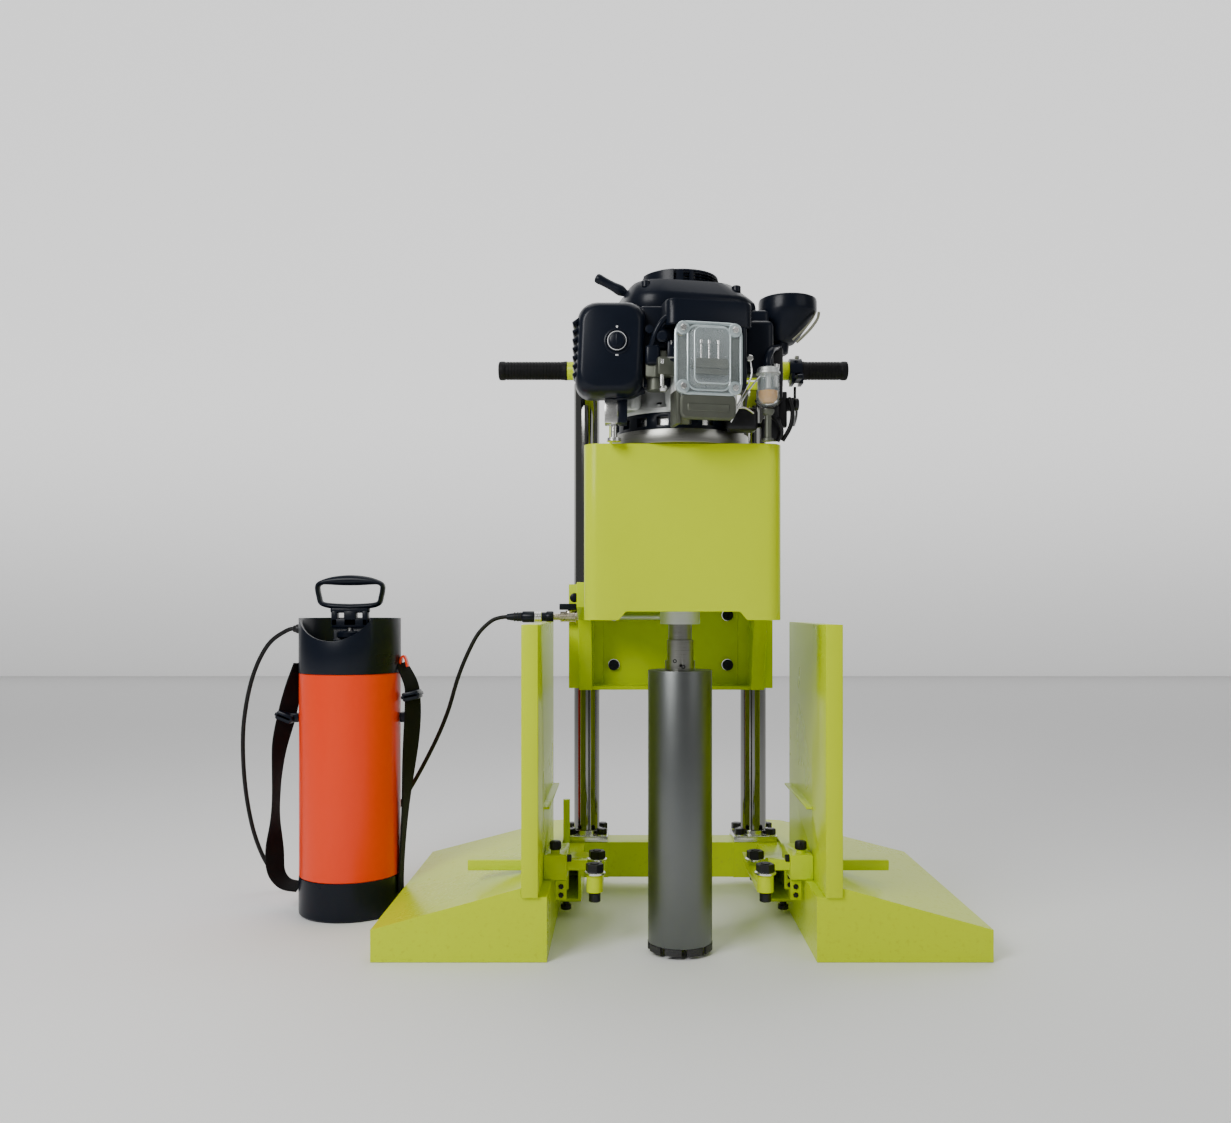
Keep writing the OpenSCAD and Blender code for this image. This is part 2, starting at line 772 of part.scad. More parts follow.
module barrel_segments() {
    arc = 360 / segment_count - 10;
    color(blacked) rig() translate([0, 0, barrel_foot]) for (i = [0 : segment_count - 1]) rotate(360 * i / segment_count)
        rotate_extrude(angle = arc) translate([barrel_d / 2 - barrel_wall - 0.6, 0])
            square([barrel_wall + 1.2, segment_h - gap / 10]);
}

// ---- water inlet on the carriage's left side ----

valve_in = -cheek_out - gap;
valve_out = -212;
valve_x = -195;
lever_z = inlet_z + 13;
coupler_out = -285;
relief_out = -315;
sleeve_x = -262;

module along_x(x, d, len) {
    translate([x, inlet_y, inlet_z]) rotate([0, 90, 0]) cylinder(h = len, d = d);
}

module valve_body() {
    color(brass_c) rig() difference() {
        union() {
            along_x(valve_out, 20, valve_in - valve_out);
            translate([valve_in - 8, inlet_y, inlet_z]) rotate([0, 90, 0]) hex(22, 8);
            translate([valve_x, inlet_y, inlet_z]) cylinder(h = lever_z - inlet_z - 1, d = 14);
            along_x(valve_out - 13, 13, 14);
        }
        along_x(valve_out - 14, 7, 60);
        translate([valve_x, inlet_y, inlet_z]) cylinder(h = 30, d = 6 + 3 * slip);
    }
}

module valve_lever() {
    color(blacked) rig() translate([valve_x, inlet_y, lever_z]) {
        translate([-19, -7, gap]) block([0, 0, 0], [33, 14, 12]);
        translate([0, 0, -5]) cylinder(h = 6, d = 6);
    }
}

module hose_coupler() {
    color(blacked) rig() difference() {
        union() {
            along_x(coupler_out, 22, sleeve_x - coupler_out);
            along_x(sleeve_x - 1, 18, valve_out - 13 - gap - sleeve_x + 1);
            along_x(sleeve_x + 22, 22, valve_out - 13 - gap - sleeve_x - 22);
            translate([relief_out, inlet_y, inlet_z]) rotate([0, 90, 0])
                cylinder(h = coupler_out - relief_out + 1, d1 = hose_d + 3, d2 = 17);
        }
        along_x(relief_out + 10, 5, 120);
        along_x(relief_out - 1, hose_d + 2 * slip, 10);
    }
}

module coupler_sleeve() {
    color(steel) rig() difference() {
        along_x(sleeve_x + gap, 23, 14);
        along_x(sleeve_x - 1, 18 + 2 * slip, 20);
    }
}

// ---- handlebar ----

handle_d = 34;
handle_end_d = 25;
left_grip_len = 125;
right_grip_len = 85;
perch_w = 22;
perch_x = handle_w / 2 - right_grip_len - perch_w;

module across(x, d, len) {
    translate([x, handle_back, handle_z]) rotate([0, 90, 0]) cylinder(h = len, d = d);
}

module handlebar() {
    color(paint) rig() {
        across(left_grip_len - handle_w / 2 + gap, handle_d, handle_w - left_grip_len - right_grip_len - perch_w - 3 * gap);
        across(-handle_w / 2 + 3, handle_end_d, handle_w - 6);
        both_sides() translate([upright_x, handle_back, block_top - 12 + gap])
            cylinder(h = handle_z - block_top + 12, d = upright_d);
    }
}

module grip(x, len, mouth) {
    difference() {
        union() {
            across(x, grip_d, len);
            for (k = [0 : 3]) across(x + (mouth > 0 ? 2 : len - 6) + (mouth > 0 ? 1 : -1) * k * 7, grip_d + 1.6, 4);
        }
        across(mouth > 0 ? x + 3 : x - 1, handle_end_d + 2 * slip, len - 2);
    }
}

module left_grip() {
    color(blacked) rig() grip(-handle_w / 2, left_grip_len, 1);
}

module right_grip() {
    color(blacked) rig() grip(handle_w / 2 - right_grip_len, right_grip_len, -1);
}

lever_pin_y = handle_back - 24;
lever_pin_z = handle_z - 20;

module throttle_clamp() {
    color(blacked) rig() difference() {
        union() {
            across(perch_x, 44, perch_w - gap);
            block([perch_x, lever_pin_y - 9, lever_pin_z - 9], [perch_x + 6, handle_back, lever_pin_z + 9]);
            block([perch_x + perch_w - 6 - gap, lever_pin_y - 9, lever_pin_z - 9],
                [perch_x + perch_w - gap, handle_back, lever_pin_z + 9]);
        }
        across(perch_x - 1, handle_end_d + 2 * slip, perch_w + 2);
        block([perch_x + 6, lever_pin_y - 12, lever_pin_z - 12],
            [perch_x + perch_w - 6 - gap, lever_pin_y + 11, lever_pin_z + 12]);
    }
    color(blacked) rig() translate([perch_x, lever_pin_y, lever_pin_z]) rotate([0, 90, 0])
        cylinder(h = perch_w - gap, d = 5);
}

module throttle_lever() {
    width = perch_w - 13 - gap;
    color(blacked) rig() translate([perch_x + 6.5, lever_pin_y, lever_pin_z]) rotate([0, 90, 0]) difference() {
        union() {
            cylinder(h = width, d = 14);
            translate([0, -36, 0]) cube([6, 36, width]);
            translate([3, -36, 0]) cylinder(h = width, d = 8);
        }
        translate([0, 0, -1]) cylinder(h = width + 2, d = 5 + 2 * slip);
    }
}

cable_r = 2.5;
cable_end = [150, -60, 852];
cable_points = [
    [perch_x + 11, handle_back, lever_pin_z - 9 - gap], [perch_x + 11, handle_back, 930], [224, 250, 900],
    [212, 200, 872], [200, 130, 862], [188, 50, 866], [176, -20, 866], [164, -48, 858], cable_end
];

module throttle_cable() {
    color(blacked) rig() sweep(route(cable_points, 3), cable_r, 8, [1, 0.2, 0]);
}

// ---- engine ----

disc_h = 21;
skirt_h = 25;
skirt_z = disc_h + gap;
case_z = disc_h + gap;
case_r = 76;
case_top = 140;
bore_z = 98;
bore_r = 32;
web_r = 48;
crank_room_r = 56;
crank_low = bore_z - 36;
crank_high = bore_z + 36;
journal_r = 12.5;
rod_t = 20;
throw = 24;
pin_r = 9;
block_w2 = 45;
head_y = -(head_reach - 28);
rocker_h = 130;

module adapter_disc() {
    color(steel) engine() difference() {
        translate([0, 0, gap]) cylinder(h = disc_h - gap, r = 108);
        translate([0, 0, -1]) cylinder(h = disc_h + 2, r = 26);
    }
}

module engine_skirt() {
    color(blacked) engine() difference() {
        translate([0, 0, skirt_z]) tube(101, case_r + 2, skirt_h);
        for (a = [0 : 20 : 359]) rotate(a) block([88, -9, skirt_z + 6], [110, 9, skirt_z + skirt_h - 6]);
    }
    // the bracket that holds the end of the throttle cable
    color(blacked) rig() {
        block([74, -66, engine_z + skirt_z + 8], [158, -54, engine_z + skirt_z + 14]);
        block([142, -66, engine_z + skirt_z + 8], [158, -54, cable_end[2] - cable_r - gap]);
    }
}

module crankcase() {
    color(steel) engine() difference() {
        union() {
            translate([0, 0, case_z]) cylinder(h = case_top - case_z, r = case_r);
            translate([0, 0, bore_z]) rotate([90, 0, 0]) cylinder(h = -head_y, r = bore_r + 7);
            for (k = [0 : 7]) block([-block_w2, -84 - 8 * k, bore_z - 51], [block_w2, -80 - 8 * k, bore_z + 42]);
            block([-block_w2, head_y, bore_z - 60], [block_w2, head_y + 12, bore_z + 42]);
        }
        translate([0, 0, crank_low]) cylinder(h = crank_high - crank_low, r = crank_room_r);
        cylinder(h = 200, r = journal_r + slip);
        translate([0, 0, bore_z]) rotate([90, 0, 0]) cylinder(h = -head_y - 5, r = bore_r);
    }
}

module rocker_cover() {
    low = bore_z - rocker_h / 2;
    color(steel) engine() {
        difference() {
            translate([0, head_y - gap, 0]) rotate([90, 0, 0]) linear_extrude(10) translate([-rocker_w / 2, low])
                rounded_square(rocker_w, rocker_h, 16);
            for (x = [-1, 1], z = [low + 12, low + rocker_h - 12])
                translate([x * (rocker_w / 2 - 12), 0, z]) rotate([90, 0, 0]) cylinder(h = 300, d = 8);
        }
        translate([0, head_y - gap - 9, 0]) rotate([90, 0, 0]) linear_extrude(head_reach + head_y - gap - 9)
            translate([-rocker_w / 2 + 14, low + 12]) rounded_square(rocker_w - 34, rocker_h - 24, 12);
    }
}

shroud_low = case_top + gap;
shroud_high = 250;
shroud_wall = 3;

module engine_shroud() {
    color(blacked) engine() rotate_extrude($fn = 72) polygon([
        [44, shroud_low], [shroud_r, shroud_low], [shroud_r, 205], [shroud_r - 12, 232], [66, shroud_high],
        [52, shroud_high], [52, shroud_high - shroud_wall], [65, shroud_high - shroud_wall], [shroud_r - 14, 230],
        [shroud_r - shroud_wall, 204], [shroud_r - shroud_wall, shroud_low + shroud_wall], [44, shroud_low + shroud_wall]
    ]);
}

recoil_h = 25;
recoil_r = 62;
pulley_r = 44;
pulley_z = shroud_high + 6;

module recoil_housing() {
    color(blacked) engine() translate([0, 0, shroud_high + gap]) difference() {
        cylinder(h = recoil_h, r = recoil_r);
        translate([0, 0, -1]) cylinder(h = recoil_h - 3, r = recoil_r - 4);
    }
    color(blacked) engine() translate([0, 0, pulley_z - 2]) cylinder(h = shroud_high + recoil_h - pulley_z, r = 7);
}

module starter_pulley() {
    color(blacked) engine() translate([0, 0, pulley_z]) rotate_extrude($fn = 48) polygon([
        [7 + slip, 0], [pulley_r, 0], [pulley_r, 3], [pulley_r - 8, 5], [pulley_r - 8, 9], [pulley_r, 11],
        [pulley_r, 14], [7 + slip, 14]
    ]);
}

grip_tilt = 62;
grip_at = [-81, -20, engine_z + shroud_high - 7];

module starter_grip() {
    color(blacked) rig() translate(grip_at) rotate([0, -grip_tilt, 0]) {
        cylinder(h = 10, d = 9);
        translate([0, 0, 9]) cylinder(h = 8, d1 = 9, d2 = 17);
        translate([0, 0, 17]) cylinder(h = 42, d = 16);
    }
}

wheel_z = shroud_low + 8;
wheel_r = 86;

module flywheel() {
    color(steel) engine() {
        difference() {
            translate([0, 0, wheel_z]) cylinder(h = 16, r = wheel_r);
            translate([0, 0, wheel_z - 1]) cylinder(h = 30, r = journal_r + wrap);
        }
        for (a = [0 : 30 : 359]) rotate(a) block([46, -1.5, wheel_z + 15], [wheel_r - 2, 1.5, wheel_z + 40]);
    }
}

module crankshaft() {
    color(steel) {
        engine() {
            translate([0, 0, input_z - engine_z - 2]) cylinder(h = bore_z - rod_t / 2 - gap - input_z + engine_z + 2, r = journal_r);
            translate([0, 0, crank_low + 4]) cylinder(h = bore_z - rod_t / 2 - gap - crank_low - 4, r = web_r);
            translate([0, 0, bore_z + rod_t / 2 + gap]) cylinder(h = crank_high - 4 - bore_z - rod_t / 2 - gap, r = web_r);
            translate([0, 0, bore_z + rod_t / 2 + gap]) cylinder(h = wheel_z + 30 - bore_z - rod_t / 2, r = journal_r);
        }
        rig() translate([0, 0, input_z]) rotate(90) gear(input_teeth, input_h, journal_r + wrap);
    }
}

piston_front = -(head_y + 5) - 2;
piston_h = 36;

// piston, connecting rod and the crank pin in its big end
module piston_and_rod() {
    pin_y = -(piston_front - piston_h / 2);
    color(steel) engine() translate([0, 0, bore_z]) {
        difference() {
            translate([0, piston_h - piston_front, 0]) rotate([90, 0, 0]) cylinder(h = piston_h, r = bore_r - 0.1);
            translate([0, piston_h - piston_front + 1, 0]) rotate([90, 0, 0]) cylinder(h = piston_h - 8, r = bore_r - 6);
        }
        translate([0, 0, -rod_t / 2]) difference() {
            linear_extrude(rod_t) union() {
                translate([0, -throw]) circle(pin_r + 5);
                translate([0, pin_y]) circle(10);
                translate([-6, pin_y]) square([12, -throw - pin_y]);
            }
            translate([0, pin_y, -1]) cylinder(h = rod_t + 2, r = 6 + slip);
        }
        translate([0, pin_y, -bore_r + 5]) cylinder(h = 2 * bore_r - 10, r = 6);
    }
}

cleaner_low = [-160, -160, 854];
cleaner_high = [-58, -96, 994];
cleaner_wall = 3;
cleaner_knob = [-99, cleaner_low[1], 932];

module air_cleaner() {
    color(blacked) rig() {
        difference() {
            rounded_box(cleaner_low, cleaner_high, 18);
            rounded_box(cleaner_low + cleaner_wall * [1, 1, 1], cleaner_high - cleaner_wall * [1, 1, 1], 15);
            translate([cleaner_knob[0], cleaner_low[1] - 1, cleaner_knob[2]]) rotate([-90, 0, 0]) cylinder(h = 12, d = 9);
        }
        block([cleaner_low[0] + 16, cleaner_low[1] + 26, cleaner_low[2] + 14],
            [cleaner_high[0] - 16, cleaner_high[1] - cleaner_wall - gap, cleaner_high[2] - 14]);
    }
}

module air_cleaner_knob() {
    color(blacked) rig() translate(cleaner_knob) {
        translate([0, -gap, 0]) rotate([90, 0, 0]) cylinder(h = 10, d = 30);
        rotate([-90, 0, 0]) translate([0, 0, -1]) cylinder(h = 15, d = 9 - 2 * slip);
    }
}

module carburettor() {
    color(steel) rig() {
        block([cleaner_high[0] + gap, -146, 884], [-26, -112, 922]);
        translate([-42, -129, 866]) cylinder(h = 20, r = 13);
    }
    color(steel) engine() block([-72, -150, bore_z - 8], [-block_w2 - gap, -126, bore_z + 18]);
}

bowl_at = [126, -111, 848];

module fuel_bowl() {
    color(brass_c) rig() translate(bowl_at) {
        difference() {
            union() {
                cylinder(h = 46, r = 17);
                translate([0, 0, -9]) cylinder(h = 10, r1 = 8, r2 = 15);
            }
            translate([0, 0, 3]) cylinder(h = 50, r = 14.5);
        }
        translate([0, 0, 46 + gap]) cylinder(h = 10, r = 18);
        translate([0, 0, engine_z + gap - bowl_at[2]]) cylinder(h = bowl_at[2] - 9 - engine_z - 2 * gap, r = 5);
    }
}

cup_at = [170, -9, 962];
cup_r = 46;
cup_h = 72;

module fuel_tank() {
    color(blacked) rig() translate(cup_at) {
        difference() {
            union() {
                cylinder(h = 50, r1 = 24, r2 = cup_r);
                translate([0, 0, 50]) cylinder(h = cup_h - 50, r = cup_r);
            }
            translate([0, 0, 8]) cylinder(h = 40, r1 = 20, r2 = cup_r - 5);
            translate([0, 0, 47.5]) cylinder(h = cup_h - 51, r = cup_r - 4);
            translate([0, 0, cup_h - 5]) cylinder(h = 6, r = 17);
        }
        translate([0, 0, cup_h - 5 + gap]) cylinder(h = 11, r = 16.5);
        // the bracket to the shroud
        block([shroud_r + gap - cup_at[0], -14, 20], [-40, 14, 28]);
        block([-40, -14, 20], [-28, 14, 44]);
    }
    color(blacked) rig() sweep(route([
        cup_at + [-12, -8, 2], cup_at + [-22, -40, -16], [bowl_at[0] + 4, -102, 932], [bowl_at[0], bowl_at[1], 916],
        [bowl_at[0], bowl_at[1], 905]
    ], 4), 4, 8, [1, 0.3, 0.1]);
}

module muffler() {
    color(steel) engine() difference() {
        rounded_box([-58, case_r + gap, 47], [58, case_r + 52, 139], 20);
        rounded_box([-55, case_r + 3, 50], [55, case_r + 49, 136], 17);
        translate([30, case_r + 30, 93]) rotate([-90, 0, 0]) cylinder(h = 40, d = 20);
    }
}

// ---- water tank ----

base_h = 68;
shell_top = 430;
tank_wall = 4;
head_floor = 452;
hub_r = 30;
rod_d = 12;
pump_r = 22;
handle_top = tank_h + 78;

module tank_base() {
    color(blacked) tank() rotate_extrude($fn = 72) polygon([
        [0, 0], [tank_r - 3, 0], [tank_r, 4], [tank_r, base_h], [tank_r - 8, base_h], [tank_r - 14, base_h - 6], [0, base_h - 6]
    ]);
}

module tank_shell() {
    color(orange) tank() difference() {
        translate([0, 0, base_h - 6 + gap]) cylinder(h = shell_top - base_h + 6 - gap, r = tank_r - 14 - gap, $fn = 72);
        translate([0, 0, base_h]) cylinder(h = 500, r = tank_r - 18);
    }
    color(orange) tank() translate([0, 0, base_h + gap]) tube(tank_r - 0.5, tank_r - 14, shell_top - base_h - gap, $fn = 72);
}

outlet_y = 12;
outlet_z = 508;
outlet_len = 10;

module tank_head() {
    color(blacked) tank() difference() {
        union() {
            translate([0, 0, shell_top + gap]) cylinder(h = tank_h - shell_top - gap, r = tank_r, $fn = 72);
            translate([-tank_r - outlet_len + 2, outlet_y, outlet_z]) rotate([0, 90, 0]) cylinder(h = 14, d = hose_d + 8);
        }
        difference() {
            translate([0, 0, head_floor]) cylinder(h = 200, r = tank_r - 6);
            translate([0, 0, head_floor - 1]) cylinder(h = tank_h - head_floor - 20, r = hub_r);
        }
        translate([0, 0, shell_top]) cylinder(h = head_floor - shell_top - 8, r = tank_r - 20);
        translate([0, 0, shell_top]) cylinder(h = 200, d = rod_d + 2 * slip);
        // the scoop in the front of the rim
        translate([-14, 0, tank_h + 40]) rotate([90, 0, 0]) cylinder(h = tank_r + 10, r = 80, $fn = 72);
    }
    // the pump's cylinder hangs from the head
    color(blacked) tank() difference() {
        translate([0, 0, base_h + 20]) cylinder(h = head_floor - 8 - base_h - 20, r = pump_r);
        translate([0, 0, base_h + 22]) cylinder(h = 500, r = pump_r - 2);
    }
}

module pump_handle() {
    grip_low = tank_h + 36;
    color(blacked) tank() {
        difference() {
            union() {
                translate([0, 12, 0]) rotate([90, 0, 0]) linear_extrude(24) difference() {
                    translate([-62, grip_low - 6]) rounded_square(124, handle_top - grip_low + 6, 14);
                    translate([-52, grip_low + 4]) rounded_square(104, handle_top - grip_low - 20, 8);
                }
                translate([0, 8, 0]) rotate([90, 0, 0]) linear_extrude(16) polygon([
                    [-26, tank_h - 18], [26, tank_h - 18], [30, grip_low - 12], [42, grip_low - 2],
                    [-42, grip_low - 2], [-30, grip_low - 12]
                ]);
            }
            for (x = [-17, 9]) block([x, -20, tank_h + 2], [x + 8, 20, tank_h + 12]);
        }
        translate([0, 0, base_h + 60]) cylinder(h = tank_h - 20 - base_h - 60 + 10, d = rod_d);
        translate([0, 0, base_h + 40]) cylinder(h = 24, r = pump_r - 2 - slip);
    }
}

strap_steps = 4;
function strap_side(q, d) = [
    for (i = [0 : len(q) - 1]) let (t = heading(q, i)) q[i] + d * [t[1], -t[0]]
];

module tank_straps() {
    out = tank_r + strap_out;
    near = tank_r + strap_t / 2 + 2 * gap;
    color(blacked) tank() {
        strap_band([[-near, 446], [-near - 20, 405], [-out, 345], [-out + 2, 230], [-out + 12, 120], [-near - 6, 52], [-near, 34]]);
        strap_band([[near, 446], [near + 22, 402], [out - 12, 330], [out - 22, 240], [near + 10, 150], [near, 60], [near, 34]]);
    }
}

// a strap's run beside the tank, from the head down to the base
module strap_band(points) {
    q = route(points, strap_steps);
    one = strap_side(q, strap_t / 2);
    two = strap_side(q, -strap_t / 2);
    rotate([90, 0, 0]) linear_extrude(strap_w, center = true)
        polygon(concat(one, [for (i = [len(two) - 1 : -1 : 0]) two[i]]));
}

// ---- hose from the tank's head, along the floor behind the tank, to the coupler ----

hose_points = [
    [-684, 250, 508], [-704, 252, 505], [-742, 262, 478], [-774, 275, 420], [-795, 290, 340], [-802, 305, 262],
    [-800, 322, 180], [-790, 342, 105], [-770, 362, 46], [-738, 378, 12], [-700, 384, 5], [-650, 378, 20],
    [-600, 368, 60], [-550, 356, 125], [-499, 346, 200], [-455, 350, 282], [-428, 353, 346], [-409, 355, 410],
    [-391, 356, 456], [-370, 357, 496], [-346, 358, 520], [-330, 358, 527], [relief_out - gap, inlet_y, inlet_z]
];

module water_hose() {
    color(blacked) rig() sweep(route(hose_points, 3), hose_d / 2, 8, [0, 1, 0]);
}

base_frame();
guide_columns();
column_flanges();
frame_screws();
column_bridge();
left_wing();
right_wing();
left_guard();
right_guard();
sleeve_blocks();
left_lock_bar();
right_lock_bar();
left_clamp_knob();
right_clamp_knob();
carriage_block();
linear_bushes();
front_cover();
gearbox_housing();
gearbox_lid();
gearbox_bearings();
layshaft();
output_gear();
spindle();
water_swivel();
core_adapter();
core_barrel();
barrel_segments();
valve_body();
valve_lever();
hose_coupler();
coupler_sleeve();
handlebar();
left_grip();
right_grip();
throttle_clamp();
throttle_lever();
throttle_cable();
adapter_disc();
engine_skirt();
crankcase();
rocker_cover();
engine_shroud();
recoil_housing();
starter_pulley();
starter_grip();
flywheel();
crankshaft();
piston_and_rod();
air_cleaner();
air_cleaner_knob();
carburettor();
fuel_bowl();
fuel_tank();
muffler();
tank_shell();
tank_base();
tank_head();
pump_handle();
tank_straps();
water_hose();
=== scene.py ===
import math

import bmesh
import bpy
from mathutils import Matrix, Vector


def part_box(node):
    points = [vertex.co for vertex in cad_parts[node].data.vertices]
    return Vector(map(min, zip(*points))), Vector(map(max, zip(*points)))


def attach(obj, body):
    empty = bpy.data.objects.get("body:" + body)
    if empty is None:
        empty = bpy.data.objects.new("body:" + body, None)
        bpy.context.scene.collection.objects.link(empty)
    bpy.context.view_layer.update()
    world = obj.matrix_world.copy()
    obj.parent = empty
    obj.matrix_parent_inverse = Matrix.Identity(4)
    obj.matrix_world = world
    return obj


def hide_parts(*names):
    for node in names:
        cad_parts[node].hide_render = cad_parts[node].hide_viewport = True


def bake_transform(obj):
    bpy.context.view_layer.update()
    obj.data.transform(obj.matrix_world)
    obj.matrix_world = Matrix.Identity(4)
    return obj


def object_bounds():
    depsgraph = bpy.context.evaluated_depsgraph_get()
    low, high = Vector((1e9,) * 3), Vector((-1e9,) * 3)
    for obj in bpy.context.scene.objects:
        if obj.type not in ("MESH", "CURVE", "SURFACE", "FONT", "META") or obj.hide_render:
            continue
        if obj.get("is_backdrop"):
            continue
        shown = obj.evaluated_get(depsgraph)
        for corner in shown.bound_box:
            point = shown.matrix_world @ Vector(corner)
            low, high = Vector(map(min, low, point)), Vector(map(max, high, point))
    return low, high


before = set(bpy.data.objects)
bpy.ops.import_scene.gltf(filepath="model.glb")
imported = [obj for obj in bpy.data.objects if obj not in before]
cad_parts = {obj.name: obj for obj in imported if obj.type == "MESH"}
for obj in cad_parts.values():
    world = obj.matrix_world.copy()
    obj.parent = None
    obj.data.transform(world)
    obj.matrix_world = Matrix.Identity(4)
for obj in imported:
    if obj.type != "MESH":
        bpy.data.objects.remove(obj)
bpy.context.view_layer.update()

# ---------------------------------------------------------------------------
# The place the rig stands. A plain pale floor, soft lights on both sides and
# above, and the operator's view from in front at the height of the cover.
# Lengths in this file are millimetres from the drill's axis at floor level.

barrel_low, barrel_high = (Vector(corner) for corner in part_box("core_barrel"))
axis_x = (barrel_low.x + barrel_high.x) / 2
axis_y = (barrel_low.y + barrel_high.y) / 2


def at(x, y, z):
    """The point x, y, z millimetres from the drill's axis at the floor."""
    return Vector((axis_x + x / 1000, axis_y + y / 1000, z / 1000))


eye = bpy.data.cameras.new("eye")
eye.sensor_width = 36.0
eye.lens = 32.3
eye.shift_x = -0.0093
eye.shift_y = 0.0386
eye.clip_end = 60
eye_stand = bpy.data.objects.new("eye_stand", eye)
eye_stand.location = at(-84.6, -1760, 544)
eye_stand.rotation_euler = (math.radians(90), 0, 0)
bpy.context.collection.objects.link(eye_stand)
bpy.context.scene.camera = eye_stand

world = bpy.data.worlds.new("studio")
world.use_nodes = True
sky = world.node_tree.nodes["Background"].inputs
sky["Color"].default_value = (1, 1, 1, 1)
sky["Strength"].default_value = 0.2
bpy.context.scene.world = world

for name, place, aim, size, power in (
    ("window", at(-1500, -1800, 1900), at(0, 0, 450), 1.2, 52),
    ("sheet", at(1500, -1300, 1500), at(0, 0, 500), 1.2, 5),
    ("roof", at(0, 500, 2600), at(0, 200, 300), 2.0, 22),
):
    lamp = bpy.data.lights.new(name, "AREA")
    lamp.shape = "SQUARE"
    lamp.size = size
    lamp.energy = power
    stand = bpy.data.objects.new(name, lamp)
    stand.location = place
    stand.rotation_euler = (aim - place).to_track_quat("-Z", "Y").to_euler()
    bpy.context.collection.objects.link(stand)


# ---------------------------------------------------------------------------
# The water hose. Black rubber, 8 mm across, from the swivel's coupler down
# behind the tank to the floor, up round its left side and into the head.


class Socket:
    """The outlet of a shader node, for writing finishes as sums."""

    def __init__(self, tree, out):
        self.tree, self.out = tree, out

    def node(self, kind, settings, inputs, out=0):
        made = self.tree.nodes.new(kind)
        for name, value in settings.items():
            if name == "stops":
                ramp = made.color_ramp
                for k, (place, shade) in enumerate(value):
                    stop = ramp.elements[k] if k < 2 else ramp.elements.new(place)
                    stop.position, stop.color = place, shade
            else:
                setattr(made, name, value)
        for name, value in inputs.items():
            if isinstance(value, Socket):
                self.tree.links.new(value.out, made.inputs[name])
            else:
                made.inputs[name].default_value = value
        return Socket(self.tree, made.outputs[out])

    def sum(self, operation, a, b):
        return self.node("ShaderNodeMath", {"operation": operation}, {0: a, 1: b})

    def __add__(self, other):
        return self.sum("ADD", self, other)

    __radd__ = __add__

    def __mul__(self, other):
        return self.sum("MULTIPLY", self, other)

    __rmul__ = __mul__


def open_finish(name, constants):
    """A new finish: its material, its place on the piece and its shader."""
    made = bpy.data.materials.new(name)
    made.use_nodes = True
    shader = made.node_tree.nodes["Principled BSDF"]
    for socket, value in constants.items():
        shader.inputs[socket].default_value = value
    place = made.node_tree.nodes.new("ShaderNodeTexCoord")
    return made, Socket(made.node_tree, place.outputs["Object"]), shader


def feed(shader, name, value):
    value.tree.links.new(value.out, shader.inputs[name])


def grain(where, scale, detail=2.0):
    return where.node("ShaderNodeTexNoise", {}, {"Vector": where, "Scale": scale, "Detail": detail})


def between(mask, low, high):
    """A colour that goes from low to high as the mask goes from 0 to 1."""
    return mask.node("ShaderNodeMix", {"data_type": "RGBA"}, {0: mask, 6: low, 7: high}, 2)


def rough_skin(shader, height, strength, depth):
    """Puts a bump of that height into the shader."""
    bump = height.node("ShaderNodeBump", {}, {"Strength": strength, "Distance": depth, "Height": height})
    feed(shader, "Normal", bump)


def mottled(name, constants, scale, detail, dark, light, rough, spread, grit=None):
    """A finish whose colour and roughness drift together; grit is its fine bump's scale, detail, strength, depth."""
    made, where, shader = open_finish(name, constants)
    cloud = grain(where, scale, detail)
    feed(shader, "Base Color", between(cloud, (*dark, 1), (*light, 1)))
    feed(shader, "Roughness", rough + spread * cloud)
    if grit:
        rough_skin(shader, grain(where, *grit[:2]), *grit[2:])
    return made


rubber = mottled("hose_rubber", {"Specular IOR Level": 0.22}, 30, 4,
                 (0.004, 0.004, 0.004), (0.016, 0.016, 0.017), 0.34, 0.2, (900, 2, 0.15, 0.0004))


def set_down(name, mesh, body, finish, node=None):
    """Puts a finished mesh on its body, in the place of the node if it has one."""
    made = bpy.data.objects.new(name, mesh)
    bpy.context.collection.objects.link(made)
    for one in finish if isinstance(finish, (list, tuple)) else (finish,):
        mesh.materials.append(one)
    if body:
        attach(made, body)
    if node:
        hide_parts(node)
    return made


def closed(name, bm, body, finish, crease=35, node=None):
    """A bmesh as a piece on its body, smooth but for its sharp edges."""
    bmesh.ops.recalc_face_normals(bm, faces=bm.faces)
    mesh = bpy.data.meshes.new(name)
    for face in bm.faces:
        face.smooth = True
    bm.to_mesh(mesh)
    bm.free()
    mesh.set_sharp_from_angle(angle=math.radians(crease))
    return set_down(name, mesh, body, finish, node)


def bent(points, steps):
    """A smooth line through the points."""
    line = []
    last = len(points) - 1
    for i in range(last):
        a, b, c, d = points[max(i - 1, 0)], points[i], points[i + 1], points[min(i + 2, last)]
        for k in range(steps):
            t = k / steps
            bow = (2 * a - 5 * b + 4 * c - d) * t**2 + (3 * b - a - 3 * c + d) * t**3
            line.append(0.5 * (2 * b + (c - a) * t + bow))
    return line + [points[-1]]


def skin(bm, rings, capped=True):
    """Joins rings of points into a bar with two ends, or into an endless one."""
    count = len(rings[0])
    for near, far in zip(rings, rings[1:] if capped else rings[1:] + rings[:1]):
        for k in range(count):
            bm.faces.new((near[k], near[(k + 1) % count], far[(k + 1) % count], far[k]))
    if capped:
        bm.faces.new(rings[0][::-1])
        bm.faces.new(rings[-1])


